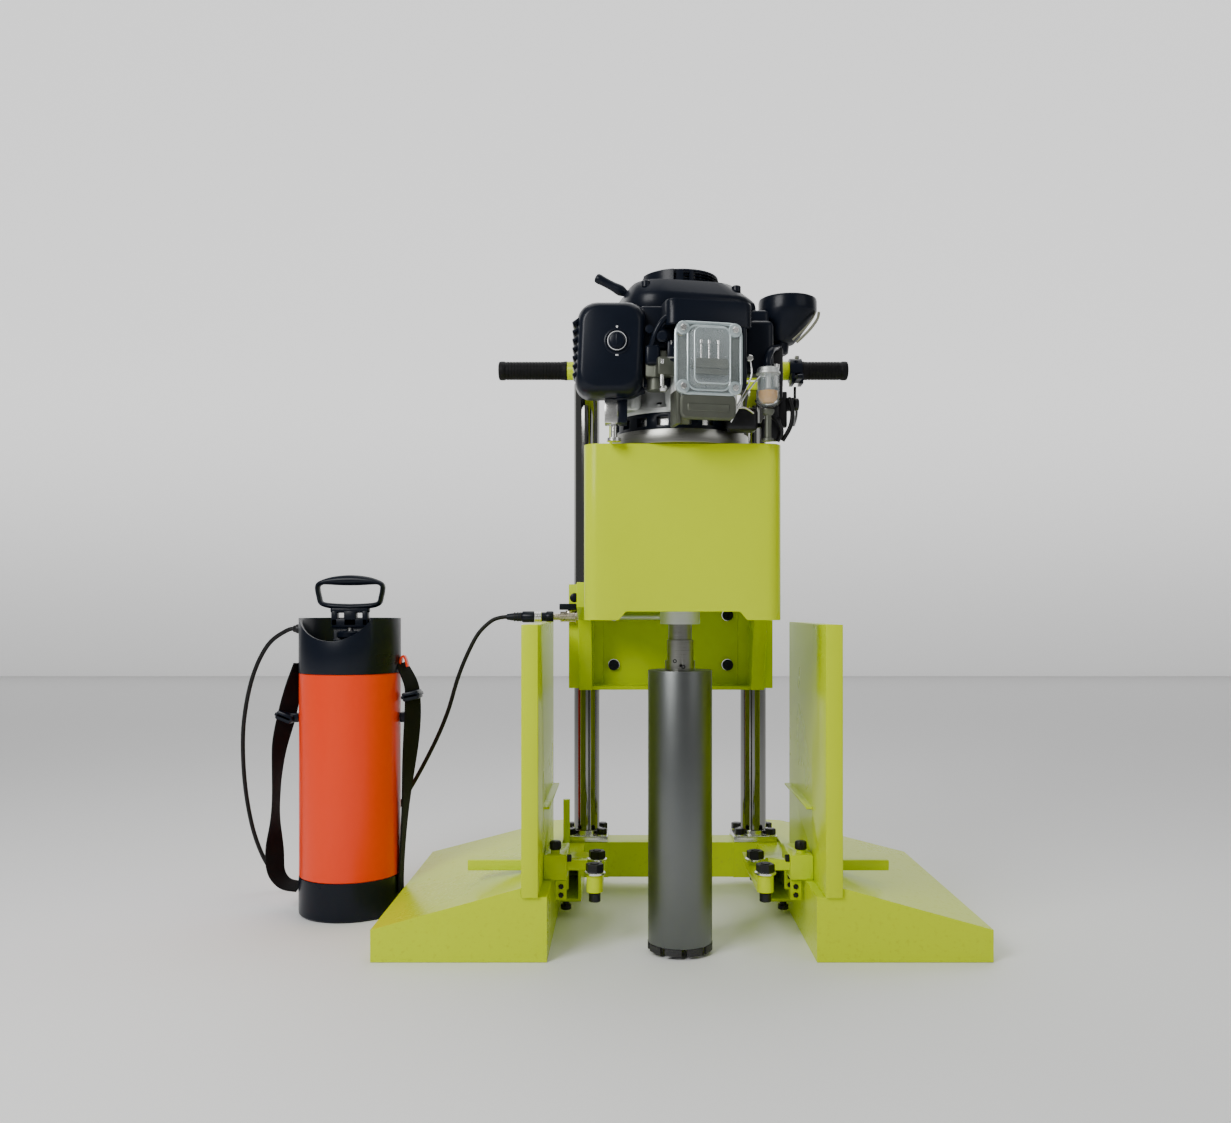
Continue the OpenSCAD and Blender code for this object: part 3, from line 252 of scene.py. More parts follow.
def drawn(bm, line, radius, sides=12):
    """Draws a round bar or tube along a line, radius one number or one per point."""
    side = Vector((0, 1, 0))
    rings = []
    for i, point in enumerate(line):
        ahead = (line[min(i + 1, len(line) - 1)] - line[max(i - 1, 0)]).normalized()
        side = (side - side.dot(ahead) * ahead).normalized()
        if side.length < 0.5:
            side = ahead.orthogonal().normalized()
        other = ahead.cross(side)
        r = radius[i] if isinstance(radius, (list, tuple)) else radius
        rings.append([
            bm.verts.new(point + r * (math.cos(math.tau * k / sides) * side + math.sin(math.tau * k / sides) * other))
            for k in range(sides)
        ])
    skin(bm, rings)


hose_d = 0.008
inlet_y, inlet_z = 358, 529
hose_run = bent([at(*p) for p in (
    (-684, 250, 508), (-704, 252, 505), (-742, 262, 478), (-774, 275, 420), (-795, 290, 340), (-802, 305, 262),
    (-800, 322, 180), (-790, 342, 105), (-770, 362, 46), (-738, 378, 12), (-700, 384, 5), (-650, 378, 20),
    (-600, 368, 60), (-550, 356, 125), (-499, 346, 200), (-455, 350, 282), (-428, 353, 346), (-409, 355, 410),
    (-391, 356, 456), (-370, 357, 496), (-346, 358, 520), (-330, 358, 527), (-315.3, inlet_y, inlet_z),
)], 6)
hose_length = sum((b - a).length for a, b in zip(hose_run, hose_run[1:]))
bm = bmesh.new()
drawn(bm, hose_run, hose_d / 2, 14)
hose = closed("water_hose_run", bm, None, rubber)
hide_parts("water_hose")
at(-560, 0, 0)
at(-335, 0, 0)
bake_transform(hose)
at(-315.3, inlet_y, inlet_z)


# ---------------------------------------------------------------------------
# The base frame. Welded square tube, powder coated yellow-green: two arms, a
# bar across the back, a pedestal under each column and a depth stop on one.

paint, where, shader = open_finish("yellow_green_coat", {
    "Coat Roughness": 0.1, "Specular IOR Level": 0.12, "Coat IOR": 1.35,
})
cloud = grain(where, 5, 4)
tall = where.node("ShaderNodeSeparateXYZ", {}, {"Vector": where}, 2)
foot = tall.node("ShaderNodeMapRange", {}, {0: tall, 1: 0.0, 2: 0.16, 3: 1.0, 4: 0.0})
scuff = grain(where, 140, 6)
worn = foot * (scuff.node("ShaderNodeMapRange", {}, {0: scuff, 1: 0.56, 2: 0.7, 3: 0.0, 4: 1.0}))
clean = between(cloud, (0.59, 0.74, 0.0, 1), (0.65, 0.79, 0.0, 1))
feed(shader, "Base Color", between(worn * 0.25, clean, (0.33, 0.36, 0.05, 1)))
shader.inputs["Coat Weight"].default_value = 0.12
feed(shader, "Roughness", 0.24 + 0.08 * cloud + 0.25 * worn)
rough_skin(shader, grain(where, 520, 1) + 0.6 * grain(where, 190, 1), 0.045, 0.0006)


def softened(node, body, width, finish, segments=2, crease=32):
    """The node's shape with its hard edges rolled over as the real piece has them."""
    bm = bmesh.new()
    bm.from_mesh(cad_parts[node].data)
    bmesh.ops.remove_doubles(bm, verts=bm.verts, dist=0.00002)
    bmesh.ops.dissolve_limit(bm, angle_limit=math.radians(1.0), verts=bm.verts, edges=bm.edges)
    hard = [
        e for e in bm.edges
        if len(e.link_faces) == 2 and e.calc_face_angle(0) > math.radians(crease) and e.calc_length() > 2.2 * width
    ]
    if hard:
        bmesh.ops.bevel(bm, geom=hard, offset=width, segments=segments, affect="EDGES", profile=0.5, clamp_overlap=True)
    bmesh.ops.remove_doubles(bm, verts=bm.verts, dist=0.00002)
    closed(node + "_rolled", bm, body, finish, crease, node)


softened("base_frame", "base", 0.0016, paint)


# ---------------------------------------------------------------------------
# The frame's fixings. Eight black hexagon bolts hold the column feet, four
# set screws with bright washers stand in the lugs, two of them on rubber pads.

metal = {"Metallic": 1.0}
blacked = mottled("black_oxide", {"Metallic": 0.6}, 60, 4,
                  (0.006, 0.006, 0.007), (0.03, 0.03, 0.033), 0.3, 0.22, (700, 2, 0.1, 0.0003))
bright = mottled("bright_zinc", metal, 90, 4, (0.62, 0.62, 0.6), (0.86, 0.86, 0.84), 0.14, 0.2)


def block(bm, low, high, roll=0.0, segments=2, turn=None):
    """A box between two corners with its edges rolled over."""
    low, high = Vector(low), Vector(high)
    size, middle = high - low, (low + high) / 2
    shape = Matrix.Translation(at(*middle)) @ Matrix.Diagonal((*(size / 1000), 1))
    if turn is not None:
        shape = turn @ shape
    made = bmesh.ops.create_cube(bm, size=1, matrix=shape)["verts"]
    if roll:
        edges = list({e for v in made for e in v.link_edges})
        bmesh.ops.bevel(bm, geom=edges, offset=roll / 1000, segments=segments, affect="EDGES", profile=0.5,
                        clamp_overlap=True)


def lathe(bm, centre, profile, toward=(0, 0, 1), sides=48):
    """Turns a profile of radius and height round a line that starts at centre."""
    up = Vector(toward).normalized()
    side = up.orthogonal().normalized()
    other = up.cross(side)
    rings = []
    for radius, height in profile:
        foot = centre + up * height / 1000
        if radius < 0.001:
            rings.append([bm.verts.new(foot)])
        else:
            rings.append([
                bm.verts.new(foot + radius / 1000 * (
                    math.cos(math.tau * k / sides) * side + math.sin(math.tau * k / sides) * other))
                for k in range(sides)
            ])
    for near, far in zip(rings, rings[1:]):
        for k in range(sides):
            n = (k + 1) % sides
            if len(near) == 1 and len(far) > 1:
                bm.faces.new((near[0], far[n], far[k]))
            elif len(far) == 1 and len(near) > 1:
                bm.faces.new((near[k], near[n], far[0]))
            elif len(near) > 1:
                bm.faces.new((near[k], near[n], far[n], far[k]))
    return rings


def hexagon(bm, centre, flats, height, toward=(0, 0, 1)):
    """A hexagon head with a chamfered top."""
    corner = flats / 2 / math.cos(math.radians(30))
    lathe(bm, centre, [(0, 0), (corner, 0), (corner, height - 1.2), (corner - 1.2, height), (0, height)], toward, 6)


feet = bmesh.new()
washers = bmesh.new()
for side in (-1, 1):
    for dx in (-30, 30):
        for dy in (-30, 30):
            foot = at(side * 163.5 + dx, 411 + dy, 106.3)
            lathe(washers, foot, [(0, 0), (11, 0), (11, 1.6), (0, 1.6)], sides=28)
            hexagon(feet, foot + Vector((0, 0, 0.0016)), 18, 11)
    for y, seat in ((0, 122.3), (139, 112.7)):
        lathe(washers, at(side * 136, y, seat), [(0, 0), (17, 0), (17, 2.6), (14.5, 4.2), (0, 4.2)], sides=36)
        hexagon(feet, at(side * 136, y, seat + 4.2), 26, 12)
        lathe(feet, at(side * 136, y, seat + 16), [(0, 0), (7.4, 0), (7.4, 1.6), (0, 1.6)], sides=24)
        lathe(feet, at(side * 136, y, 78.2), [
            (0, 0), (8.4, 0), (9.4, 1), (9.4, 13.6), (8.6, 14.4), (0, 14.4)], sides=28)
    lathe(feet, at(side * 193, 204, 11), [(0, 0), (8.5, 0), (9.5, 1.2), (9.5, 8), (6, 8), (6, 16), (0, 16)], sides=24)
closed("frame_bolts", feet, "base", blacked, node="frame_screws")
closed("bright_washers", washers, "base", bright)


# ---------------------------------------------------------------------------
# The guide columns. Ground steel tube, hard chromed, in bored foot flanges,
# tied together at the top by a painted bridge with a hole for a lifting eye.

chrome, where, shader = open_finish("hard_chrome", {"Metallic": 1.0, "Base Color": (0.21, 0.21, 0.20, 1)})
haze = grain(where, 14, 3)
feed(shader, "Roughness", 0.05 + 0.07 * haze)


def dress(finish, *nodes):
    """Gives pieces that keep their shape a finish."""
    for node in nodes:
        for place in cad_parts[node].material_slots:
            place.material = finish


dress(chrome, "guide_columns")
softened("column_flanges", "base", 0.0012, bright)
softened("column_bridge", "base", 0.0015, paint)


# ---------------------------------------------------------------------------
# The wings and splash guards. Folded and welded 4 mm sheet, coated like the
# frame. The guards stand on the wings' shelves and take the lock bars' slots.

for node in ("left_wing", "right_wing"):
    softened(node, "base", 0.0022, paint, 3, 6)
for node in ("left_guard", "right_guard"):
    softened(node, "base", 0.0011, paint)

tabs = bmesh.new()
studs = bmesh.new()
for side in (-1, 1):
    for y in (60, 128):
        block(tabs, (side * 193 - 9, y - 5, 66), (side * 193 + 9, y - 1, 98), 1.0)
        for z in (74, 88):
            hexagon(studs, at(side * 193, y - 5, z), 8, 3, (0, -1, 0))
    hexagon(studs, at(side * 183, 62, 133), 12, 7, (-side, 0, 0))
closed("hinge_tabs", tabs, "base", paint)
closed("hinge_studs", studs, "base", blacked)


# ---------------------------------------------------------------------------
# The lock bars. Square steel bars slide through welded sleeve blocks to hold
# the wings out, each pinched by a black knob on a bright stud.

softened("sleeve_blocks", "base", 0.0014, paint)
for hand in ("left", "right"):
    softened(f"{hand}_lock_bar", f"{hand}_bar", 0.0012, paint)
    low, high = (Vector(corner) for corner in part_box(f"{hand}_clamp_knob"))
    middle = (low + high) / 2
    bm = bmesh.new()
    lathe(bm, Vector((middle.x, middle.y, low.z)), [(0, 0), (3.9, 0), (3.9, 17), (0, 17)], sides=24)
    closed(f"{hand}_knob_stud", bm, f"{hand}_knob", bright)
    bm = bmesh.new()
    rings = lathe(bm, Vector((middle.x, middle.y, high.z - 0.0142)), [
        (0, 0), (8.6, 0), (9.8, 1.4), (9.8, 11), (8.8, 13.2), (6.8, 14.1), (0, 14.2)], sides=48)
    for ring in rings[2:5]:
        for k, vert in enumerate(ring):
            if k % 4 == 0:
                vert.co.x += (middle.x - vert.co.x) * 0.1
                vert.co.y += (middle.y - vert.co.y) * 0.1
    closed(f"{hand}_knob_cap", bm, f"{hand}_knob", blacked, node=f"{hand}_clamp_knob")


# ---------------------------------------------------------------------------
# The carriage. A machined block rides the columns on bronze bushes and takes
# the gearbox on its shelf. Black caps fill the four bolt holes in its back.

softened("carriage_block", "carriage", 0.003, paint, 3)
softened("front_cover", "carriage", 0.0012, paint)

moulded = mottled("black_moulding", {"Specular IOR Level": 0.17, "Coat Weight": 0.03, "Coat Roughness": 0.12}, 9, 3,
                  (0.003, 0.005, 0.010), (0.007, 0.010, 0.019), 0.23, 0.12, (1100, 2, 0.09, 0.0003))

caps = bmesh.new()
for x in (-110, 110):
    for z in (436, 532):
        lathe(caps, at(x, 375.5, z), [(0, 0), (10.6, 0), (10.6, 3.2), (9.6, 4.4), (5, 4.4), (4.4, 3.4), (0, 3.4)],
              (0, -1, 0), 36)
lathe(caps, at(-186, 375.5, 566), [(0, 0), (9, 0), (9, 1.8), (7, 2.8), (0, 2.8)], (0, -1, 0), 32)
closed("hole_caps", caps, "carriage", moulded)

bronze = mottled("bronze", metal, 40, 3, (0.45, 0.27, 0.10), (0.62, 0.42, 0.20), 0.28, 0.2)
dress(bronze, "linear_bushes")


# ---------------------------------------------------------------------------
# The gearbox and what turns in it. Cast aluminium housing and lid, ground
# steel shafts and gears, and the swivel that lets water into the spindle.

cast, where, shader = open_finish("cast_aluminium", {"Metallic": 0.85})
sand = grain(where, 260, 6)
cloud = grain(where, 12, 3)
feed(shader, "Base Color", between(cloud, (0.60, 0.62, 0.60, 1), (0.82, 0.84, 0.82, 1)))
feed(shader, "Roughness", 0.38 + 0.22 * sand)
rough_skin(shader, sand, 0.35, 0.0006)

machined, where, shader = open_finish("machined_steel", {"Metallic": 1.0})
line = where.node("ShaderNodeMapping", {}, {"Vector": where, "Scale": (30, 30, 1600)})
turned = line.node("ShaderNodeTexNoise", {}, {"Vector": line, "Scale": 1.0, "Detail": 2.0})
feed(shader, "Base Color", between(turned, (0.22, 0.22, 0.20, 1), (0.36, 0.36, 0.33, 1)))
feed(shader, "Roughness", 0.22 + 0.18 * turned)
rough_skin(shader, turned, 0.12, 0.0003)

dress(cast, "gearbox_housing", "gearbox_lid", "water_swivel")
dress(machined, "gearbox_bearings", "layshaft", "output_gear", "spindle", "crankshaft", "flywheel", "piston_and_rod")


# ---------------------------------------------------------------------------
# The adapter and core barrel. A steel adapter with two flats and set screws,
# a ground steel tube, and segments of diamond in metal round its foot.

softened("core_adapter", "spindle_set", 0.0008, machined)
bm = bmesh.new()
for x, z in ((-9, 462), (4, 453)):
    out = Vector((x, -math.sqrt(24**2 - x**2), 0)).normalized()
    lathe(bm, at(x, -math.sqrt(23.4**2 - x**2), z), [
        (0, 0), (3.2, 0), (3.2, 1.1), (1.7, 1.1), (1.7, 0.4), (0, 0.4)], out, 20)
closed("adapter_set_screws", bm, "spindle_set", blacked)

ground, where, shader = open_finish("ground_barrel", {"Metallic": 1.0})
line = where.node("ShaderNodeMapping", {}, {"Vector": where, "Scale": (22, 22, 2600)})
turned = line.node("ShaderNodeTexNoise", {}, {"Vector": line, "Scale": 1.0, "Detail": 3.0})
stain = grain(where, 7, 5)
feed(shader, "Base Color", between(stain, (0.13, 0.14, 0.14, 1), (0.20, 0.21, 0.205, 1)))
feed(shader, "Roughness", 0.30 + 0.10 * turned + 0.08 * stain)
rough_skin(shader, turned, 0.10, 0.0003)
softened("core_barrel", "spindle_set", 0.0010, ground)

grit, where, shader = open_finish("diamond_segments", {"Metallic": 0.7})
specks = where.node("ShaderNodeTexVoronoi", {}, {"Vector": where, "Scale": 1400.0})
feed(shader, "Base Color", between(specks, (0.10, 0.10, 0.10, 1), (0.02, 0.02, 0.022, 1)))
feed(shader, "Roughness", 0.45 + 0.3 * specks)
rough_skin(shader, specks, 0.4, 0.0004)
dress(grit, "barrel_segments")


# ---------------------------------------------------------------------------
# The water inlet. A plated brass ball valve with a black lever, and a quick
# coupler on the hose: moulded body, bright pull-back sleeve, strain relief.

plated = mottled("plated_brass", metal, 70, 4, (0.48, 0.42, 0.30), (0.68, 0.63, 0.5), 0.18, 0.2)
softened("valve_body", "carriage", 0.0005, plated)
softened("valve_lever", "valve_handle", 0.0016, moulded, 3)
bm = bmesh.new()
lathe(bm, at(-315, inlet_y, inlet_z), [
    (4.2, 0), (5.6, 0), (7.0, 8), (8.6, 24), (8.6, 29), (10.2, 30), (11.0, 31.5), (11.0, 52), (10.0, 53), (8.9, 53),
    (8.9, 75.5), (10.4, 76), (11.0, 77), (11.0, 88), (10.2, 89.6), (4.2, 89.6), (4.2, 0)], (1, 0, 0), 40)
closed("coupler_body", bm, "carriage", moulded, node="hose_coupler")
bm = bmesh.new()
for x in (-301, -295, -289):
    lathe(bm, at(x, inlet_y, inlet_z), [(6.8, 0), (9.0, 0.3), (9.0, 2.2), (6.8, 2.5)], (1, 0, 0), 40)
closed("relief_ribs", bm, "carriage", rubber)
bm = bmesh.new()
lathe(bm, at(-261.7, inlet_y, inlet_z), [
    (9.1, 0), (10.8, 0), (11.5, 0.7), (11.5, 3), (10.7, 3.4), (10.7, 4.6), (11.5, 5), (11.5, 8), (10.7, 8.4),
    (10.7, 9.6), (11.5, 10), (11.5, 13.3), (10.8, 14), (9.1, 14), (9.1, 0)], (1, 0, 0), 40)
closed("coupler_ring", bm, "sleeve", bright, node="coupler_sleeve")


# ---------------------------------------------------------------------------
# The handlebar. A coated bar on two uprights, ribbed rubber grips, and the
# throttle's clamp and lever with their screw beside the right grip.

softened("handlebar", "carriage", 0.0008, paint)
grip_rubber, where, shader = open_finish("grip_rubber", {"Specular IOR Level": 0.14})
pebble = where.node("ShaderNodeTexVoronoi", {}, {"Vector": where, "Scale": 900.0})
feed(shader, "Base Color", between(pebble, (0.004, 0.004, 0.005, 1), (0.012, 0.012, 0.013, 1)))
feed(shader, "Roughness", 0.42 + 0.2 * pebble)
rough_skin(shader, pebble, 0.3, 0.0004)

for node, start, out, length in (("left_grip", -194, -1, 125), ("right_grip", 234, 1, 85)):
    profile = [(12.6, 0), (17.2, 0), (17.3, 1.2), (17.3, 4.2), (16.6, 5.4)]
    step = 8
    while step < length - 14:
        profile += [(16.5, step), (16.5, step + 3.6), (15.7, step + 4.2), (15.7, step + 5.2)]
        step += 5.8
    profile += [(r, length - s) for r, s in ((16.5, 12), (17.2, 10), (17.2, 4), (16.2, 1.2), (13.5, 0), (0, 0))]
    bm = bmesh.new()
    lathe(bm, at(start, 263, 980), profile, (out, 0, 0), 40)
    closed(node + "_ribbed", bm, "carriage", grip_rubber, node=node)

softened("throttle_clamp", "carriage", 0.0012, moulded)
softened("throttle_lever", "throttle", 0.001, moulded)
bm = bmesh.new()
hexagon(bm, at(223, 245, 998), 8, 6, (0, -0.4, 1))
closed("clamp_screw", bm, "carriage", bright)


# ---------------------------------------------------------------------------
# The engine's foot and crankcase. A turned disc, a black slotted ring and a
# cast case with cooling fins, turned 12 degrees so the cylinder looks right.

def swung(middle, degrees, axis="Z"):
    """A turn about an upright or level line through a point."""
    return Matrix.Translation(middle) @ Matrix.Rotation(math.radians(degrees), 4, axis) @ Matrix.Translation(-middle)


engine_angle = 12
engine_turn = swung(at(0, 0, 0), engine_angle)
engine_out = Matrix.Rotation(math.radians(engine_angle), 4, "Z") @ Vector((0, -1, 0))


def on_engine(x, y, z):
    """A point in the engine's own directions, height from the floor."""
    return engine_turn @ at(x, y, z)


softened("adapter_disc", "carriage", 0.0008, machined)
softened("engine_skirt", "carriage", 0.0010, moulded)
softened("crankcase", "carriage", 0.0018, cast)
bm = bmesh.new()
lathe(bm, at(0, 0, 0), [(88.3, 821.5), (91, 821.5), (91, 833.5), (88.3, 833.5), (88.3, 821.5)], sides=72)
closed("skirt_lining", bm, "carriage", bright)
bm = bmesh.new()
lathe(bm, at(0, 0, 0), [
    (76.5, 841), (100, 841), (101, 843), (101, 848), (98, 851), (92, 856), (85, 866), (80.5, 880), (78, 900),
    (76.5, 915), (76.5, 841)], sides=72)
bolt_round = [0.092 * Vector((math.cos(a), math.sin(a), 0)) for a in (math.radians(22.5 + 45 * k) for k in range(8))]
for out in bolt_round:
    lathe(bm, at(0, 0, 846) + out, [(0, 0), (7, 0), (7, 6), (5.5, 7.5), (0, 7.5)], sides=20)
block(bm, (-96, -74, 846), (-62, -40, 886), 5, 3)
block(bm, (-92, -78, 850), (-84, -70, 884), 1.5, 2)
block(bm, (-80, -80, 850), (-72, -72, 884), 1.5, 2)
closed("crankcase_bell", bm, "carriage", cast)
bm = bmesh.new()
for out in bolt_round:
    hexagon(bm, at(0, 0, 853) + out, 8, 4)
closed("case_bolts", bm, "carriage", blacked)


# ---------------------------------------------------------------------------
# The rocker cover. A flanged casting with a clear moulded window over the
# rocker gear, four screws at its corners and a brass plug beside them.
# Whitish beads along its rims and round the screw bosses are painted highlight.

window, where, shader = open_finish("clear_window", {
    "Base Color": (0.62, 0.70, 0.72, 1), "Roughness": 0.04, "IOR": 1.49, "Alpha": 0.16, "Coat Weight": 0.8,
    "Coat Roughness": 0.02})
# Painted highlight: this whitish grey on the beads along the window's rims and round the screw bosses stands in for the
# light they catch.
rim_highlight_paint = mottled("painted_highlight_rim", {"Coat Weight": 0.6, "Coat Roughness": 0.05, "Metallic": 0.35}, 30, 3,
                  (0.36, 0.44, 0.45), (0.66, 0.75, 0.76), 0.12, 0.2)
sooty, where, shader = open_finish("dark_casting", {"Metallic": 0.7})
sand = grain(where, 240, 5)
cloud = grain(where, 10, 3)
feed(shader, "Base Color", between(cloud, (0.06, 0.065, 0.05, 1), (0.20, 0.21, 0.17, 1)))
feed(shader, "Roughness", 0.34 + 0.22 * sand)
rough_skin(shader, sand, 0.3, 0.0005)


def rounded_outline(w, h, r, steps=6):
    """The corners of a rounded rectangle, across and up, round its middle."""
    line = []
    for sx, sz, start in ((1, -1, 270), (1, 1, 0), (-1, 1, 90), (-1, -1, 180)):
        for k in range(steps + 1):
            a = math.radians(start + 90 * k / steps)
            line.append((sx * (w / 2 - r) + r * math.cos(a), sz * (h / 2 - r) + r * math.sin(a)))
    return line


def stacked(bm, layers, place):
    """Skins a stack of rounded rectangles: each layer is its width, height, corner and distance out."""
    skin(bm, [[bm.verts.new(place(x, z, out)) for x, z in rounded_outline(w, h, r)] for w, h, r, out in layers])


def rim(bm, line, place, thick, sides=10):
    """A closed bead of round section along an outline."""
    points = [place(x, z, out) for x, z, out in line]
    count = len(points)
    rings = []
    for i, point in enumerate(points):
        ahead = (points[(i + 1) % count] - points[i - 1]).normalized()
        side = ahead.cross(engine_out).normalized()
        rings.append([
            bm.verts.new(point + thick * (math.cos(a) * side + math.sin(a) * engine_out))
            for a in (math.tau * k / sides for k in range(sides))
        ])
    skin(bm, rings, False)


def facing(x, z, out):
    return on_engine(x, -out, 907 + z)


bm = bmesh.new()
stacked(bm, [(94, 98, 16, 157.4), (94, 98, 16, 159.6)], facing)
block(bm, (-24, -176, 882), (26, -163, 905), 2.0, 2, engine_turn)
block(bm, (-27, -180, 890), (27, -164, 896), 1.0, 2, engine_turn)
closed("rocker_backing", bm, "carriage", sooty, node="rocker_cover")
# These beads carry the painted highlight along the flange, along the window's steps and round the screw bosses.
bm = bmesh.new()
rim(bm, [(x, z, 162.5) for x, z in rounded_outline(98, 102, 17)], facing, 0.0026)
rim(bm, [(x, z, 165.5) for x, z in rounded_outline(64, 92, 13)], facing, 0.0016)
rim(bm, [(x, z, 183.0) for x, z in rounded_outline(53, 80, 9)], facing, 0.0011)
for x in (-39, 39):
    for z in (-42, 42):
        lathe(bm, facing(x, z, 159.6), [(0, 0), (10, 0), (10, 6.5), (8.6, 8), (0, 8)], engine_out, 28)
closed("rocker_highlight_rims", bm, "carriage", rim_highlight_paint)
bm = bmesh.new()
stacked(bm, [(98, 102, 17, 160), (99, 103, 17, 161.5), (98, 102, 16, 165)], facing)
stacked(bm, [(60, 88, 12, 165.4), (57, 85, 10, 181), (52, 80, 8, 184.2), (46, 74, 7, 185)], facing)
closed("rocker_window", bm, "carriage", window)
bm = bmesh.new()
for x in (-39, 39):
    for z in (-42, 42):
        hexagon(bm, facing(x, z, 167.4), 9, 3.6, engine_out)
for x in (-14, -2, 12):
    lathe(bm, facing(x, -2, 172), [(0, 0), (1.7, 0), (1.7, 20), (2.8, 21), (2.8, 26), (0, 26)], (0, 0, 1), 16)
closed("rocker_screws", bm, "carriage", bright)
bm = bmesh.new()
stacked(bm, [(80, 34, 8, 150), (84, 37, 10, 153), (84, 37, 10, 160), (79, 32, 8, 163)],
        lambda x, z, out: on_engine(x, -out, 838 + z))
closed("head_foot", bm, "carriage", sooty)
bm = bmesh.new()
block(bm, (-32, -164.2, 830), (32, -160, 842), 3.4, 3, engine_turn)
block(bm, (-47, -158, 812), (-40, -120, 862), 2, 2, engine_turn)
closed("head_recess", bm, "carriage", sooty)
brass = mottled("bare_brass", metal, 80, 3, (0.62, 0.50, 0.24), (0.80, 0.70, 0.42), 0.2, 0.2)
bm = bmesh.new()
hexagon(bm, at(-8, -162, 945), 12, 5, (0, -1, 0))
lathe(bm, at(-8, -150, 945), [(0, 0), (4, 0), (4, 20), (2.8, 21), (0, 21)], (0, -1, 0), 24)
closed("brass_plug", bm, "carriage", brass)


# ---------------------------------------------------------------------------
# The shroud and recoil starter. Black mouldings over the fan: a squarish hood
# with a seam, a duct on its right, a vented drum on top and the pull grip.

bm = bmesh.new()
lathe(bm, at(0, 0, 0), [
    (44, 934.4), (107, 934.4), (108, 936), (108, 991), (106, 994.5), (60, 994.5), (60, 991), (104.5, 990), (105, 937.5),
    (44, 937.4), (44, 934.4)], sides=96)


def hood(x, y, z):
    """The hood leans to the right below its flat top."""
    return on_engine(x + 4 - 10 * min(1, max(0, (z - 1016) / 24)), y, z)


stacked(bm, [
    (196, 196, 50, 995.2), (206, 204, 56, 996), (208, 206, 57, 998), (208, 206, 57, 1013), (206, 204, 56, 1017),
    (201, 200, 54, 1021), (170, 176, 46, 1039), (162, 170, 43, 1042.6), (152, 160, 40, 1044)], hood)
stacked(bm, [(128, 54, 14, 957), (132, 58, 16, 959), (132, 58, 16, 991), (128, 54, 15, 995)],
        lambda x, y, z: on_engine(x + 6, y - 127, z))
closed("shroud_hood", bm, "carriage", moulded, 30, node="engine_shroud")
bm = bmesh.new()
for x, y in ((-72, -78), (70, -80), (-80, 70), (72, 72)):
    lathe(bm, hood(x, y, 1030), [(0, 0), (7, 0), (7, 8.5), (5.5, 10), (0, 10)], sides=24)
block(bm, (86, -90, 900), (138, -50, 982), 9, 3)
block(bm, (92, -66, 976), (134, -30, 1004), 7, 3)
block(bm, (-60, -108, 936), (-24, -86, 990), 5, 3)
block(bm, (44, -140, 866), (92, -96, 962), 6, 3)
closed("shroud_duct", bm, "carriage", moulded)


def arc_wall(bm, inner, outer, low, high, start, end, steps=16):
    """A curved wall round the drill axis between two angles."""
    rings = []
    for k in range(steps + 1):
        a = math.radians(start + (end - start) * k / steps)
        out = Vector((math.cos(a), math.sin(a), 0))
        rings.append([bm.verts.new(at(0, 0, z) + out * r / 1000) for r, z in (
            (inner, low), (outer, low), (outer, high - 1.5), (outer - 1.5, high), (inner, high))])
    skin(bm, rings)


bm = bmesh.new()
lathe(bm, at(0, 0, 1044.3), [
    (47, 0), (64, 0), (65, 1), (65, 4.6), (63, 6), (50, 6), (47, 6), (47, 0)], sides=72)
lathe(bm, at(0, 0, 1044.3), [
    (40, 19.5), (57, 19.5), (60, 20.5), (60.5, 22), (59.5, 24), (56, 25), (22, 25), (20, 24.2), (18, 22.6), (0, 22.6),
    (0, 18.5), (40, 19.5)], sides=72)
for z in (1052.4, 1057.0, 1061.6):
    lathe(bm, at(0, 0, z), [(54, 0), (60.6, 0), (61.4, 0.9), (60.6, 1.8), (54, 1.8), (54, 0)], sides=72)
for k in range(24):
    block(bm, (52, -1.4, 1050), (58.6, 1.4, 1065), 0.5, 1, swung(at(0, 0, 0), 15 * k))
for k in range(18):
    block(bm, (24, -1.2, 1068.4), (54, 1.2, 1069.3), 0.3, 1, swung(at(0, 0, 0), 20 * k))
arc_wall(bm, 55, 62.4, 1049, 1068.6, 200, 258)
arc_wall(bm, 55, 61.8, 1050, 1068, 262, 272, 6)
arc_wall(bm, 55, 61.8, 1050, 1068, 281, 287, 6)
closed("recoil_drum", bm, "carriage", moulded, node="recoil_housing")
bm = bmesh.new()
lathe(bm, at(0, 0, 1046), [(44, 0), (51, 0), (51, 19), (44, 19), (44, 0)], sides=60)
closed("fan_screen", bm, "carriage", bright)
dress(moulded, "starter_pulley")

pull = Vector((-0.883, 0, 0.469)).normalized()
grip_foot = at(-81, -20, 1038.5)
bm = bmesh.new()
lathe(bm, grip_foot, [
    (0, 0), (5.0, 0), (5.6, 2), (5.6, 7), (7.0, 10), (8.6, 15), (8.4, 20), (7.4, 27), (7.0, 36), (7.2, 46), (7.8, 53),
    (7.4, 57), (6.0, 59), (3, 60), (0, 60)], pull, 36)
closed("pull_grip", bm, "pull_grip", moulded, node="starter_grip")
bm = bmesh.new()
lathe(bm, grip_foot - pull * 0.0145, [(2.6, 0), (10, 0), (10, 5), (8, 8), (6.4, 13.6), (2.6, 13.6), (2.6, 0)], pull, 32)
block(bm, (-84, -30, 1030), (-58, -10, 1043), 3, 3)
block(bm, (-74, -26, 1041), (-58, -14, 1052), 3, 3)
closed("rope_guide", bm, "carriage", blacked)
cordage, where, shader = open_finish("starter_cord", {"Roughness": 0.8})
twist = where.node("ShaderNodeTexWave", {}, {"Vector": where, "Scale": 160.0, "Distortion": 2.0})
feed(shader, "Base Color", between(twist, (0.02, 0.02, 0.02, 1), (0.10, 0.10, 0.10, 1)))
rough_skin(shader, twist, 0.4, 0.0004)
bm = bmesh.new()
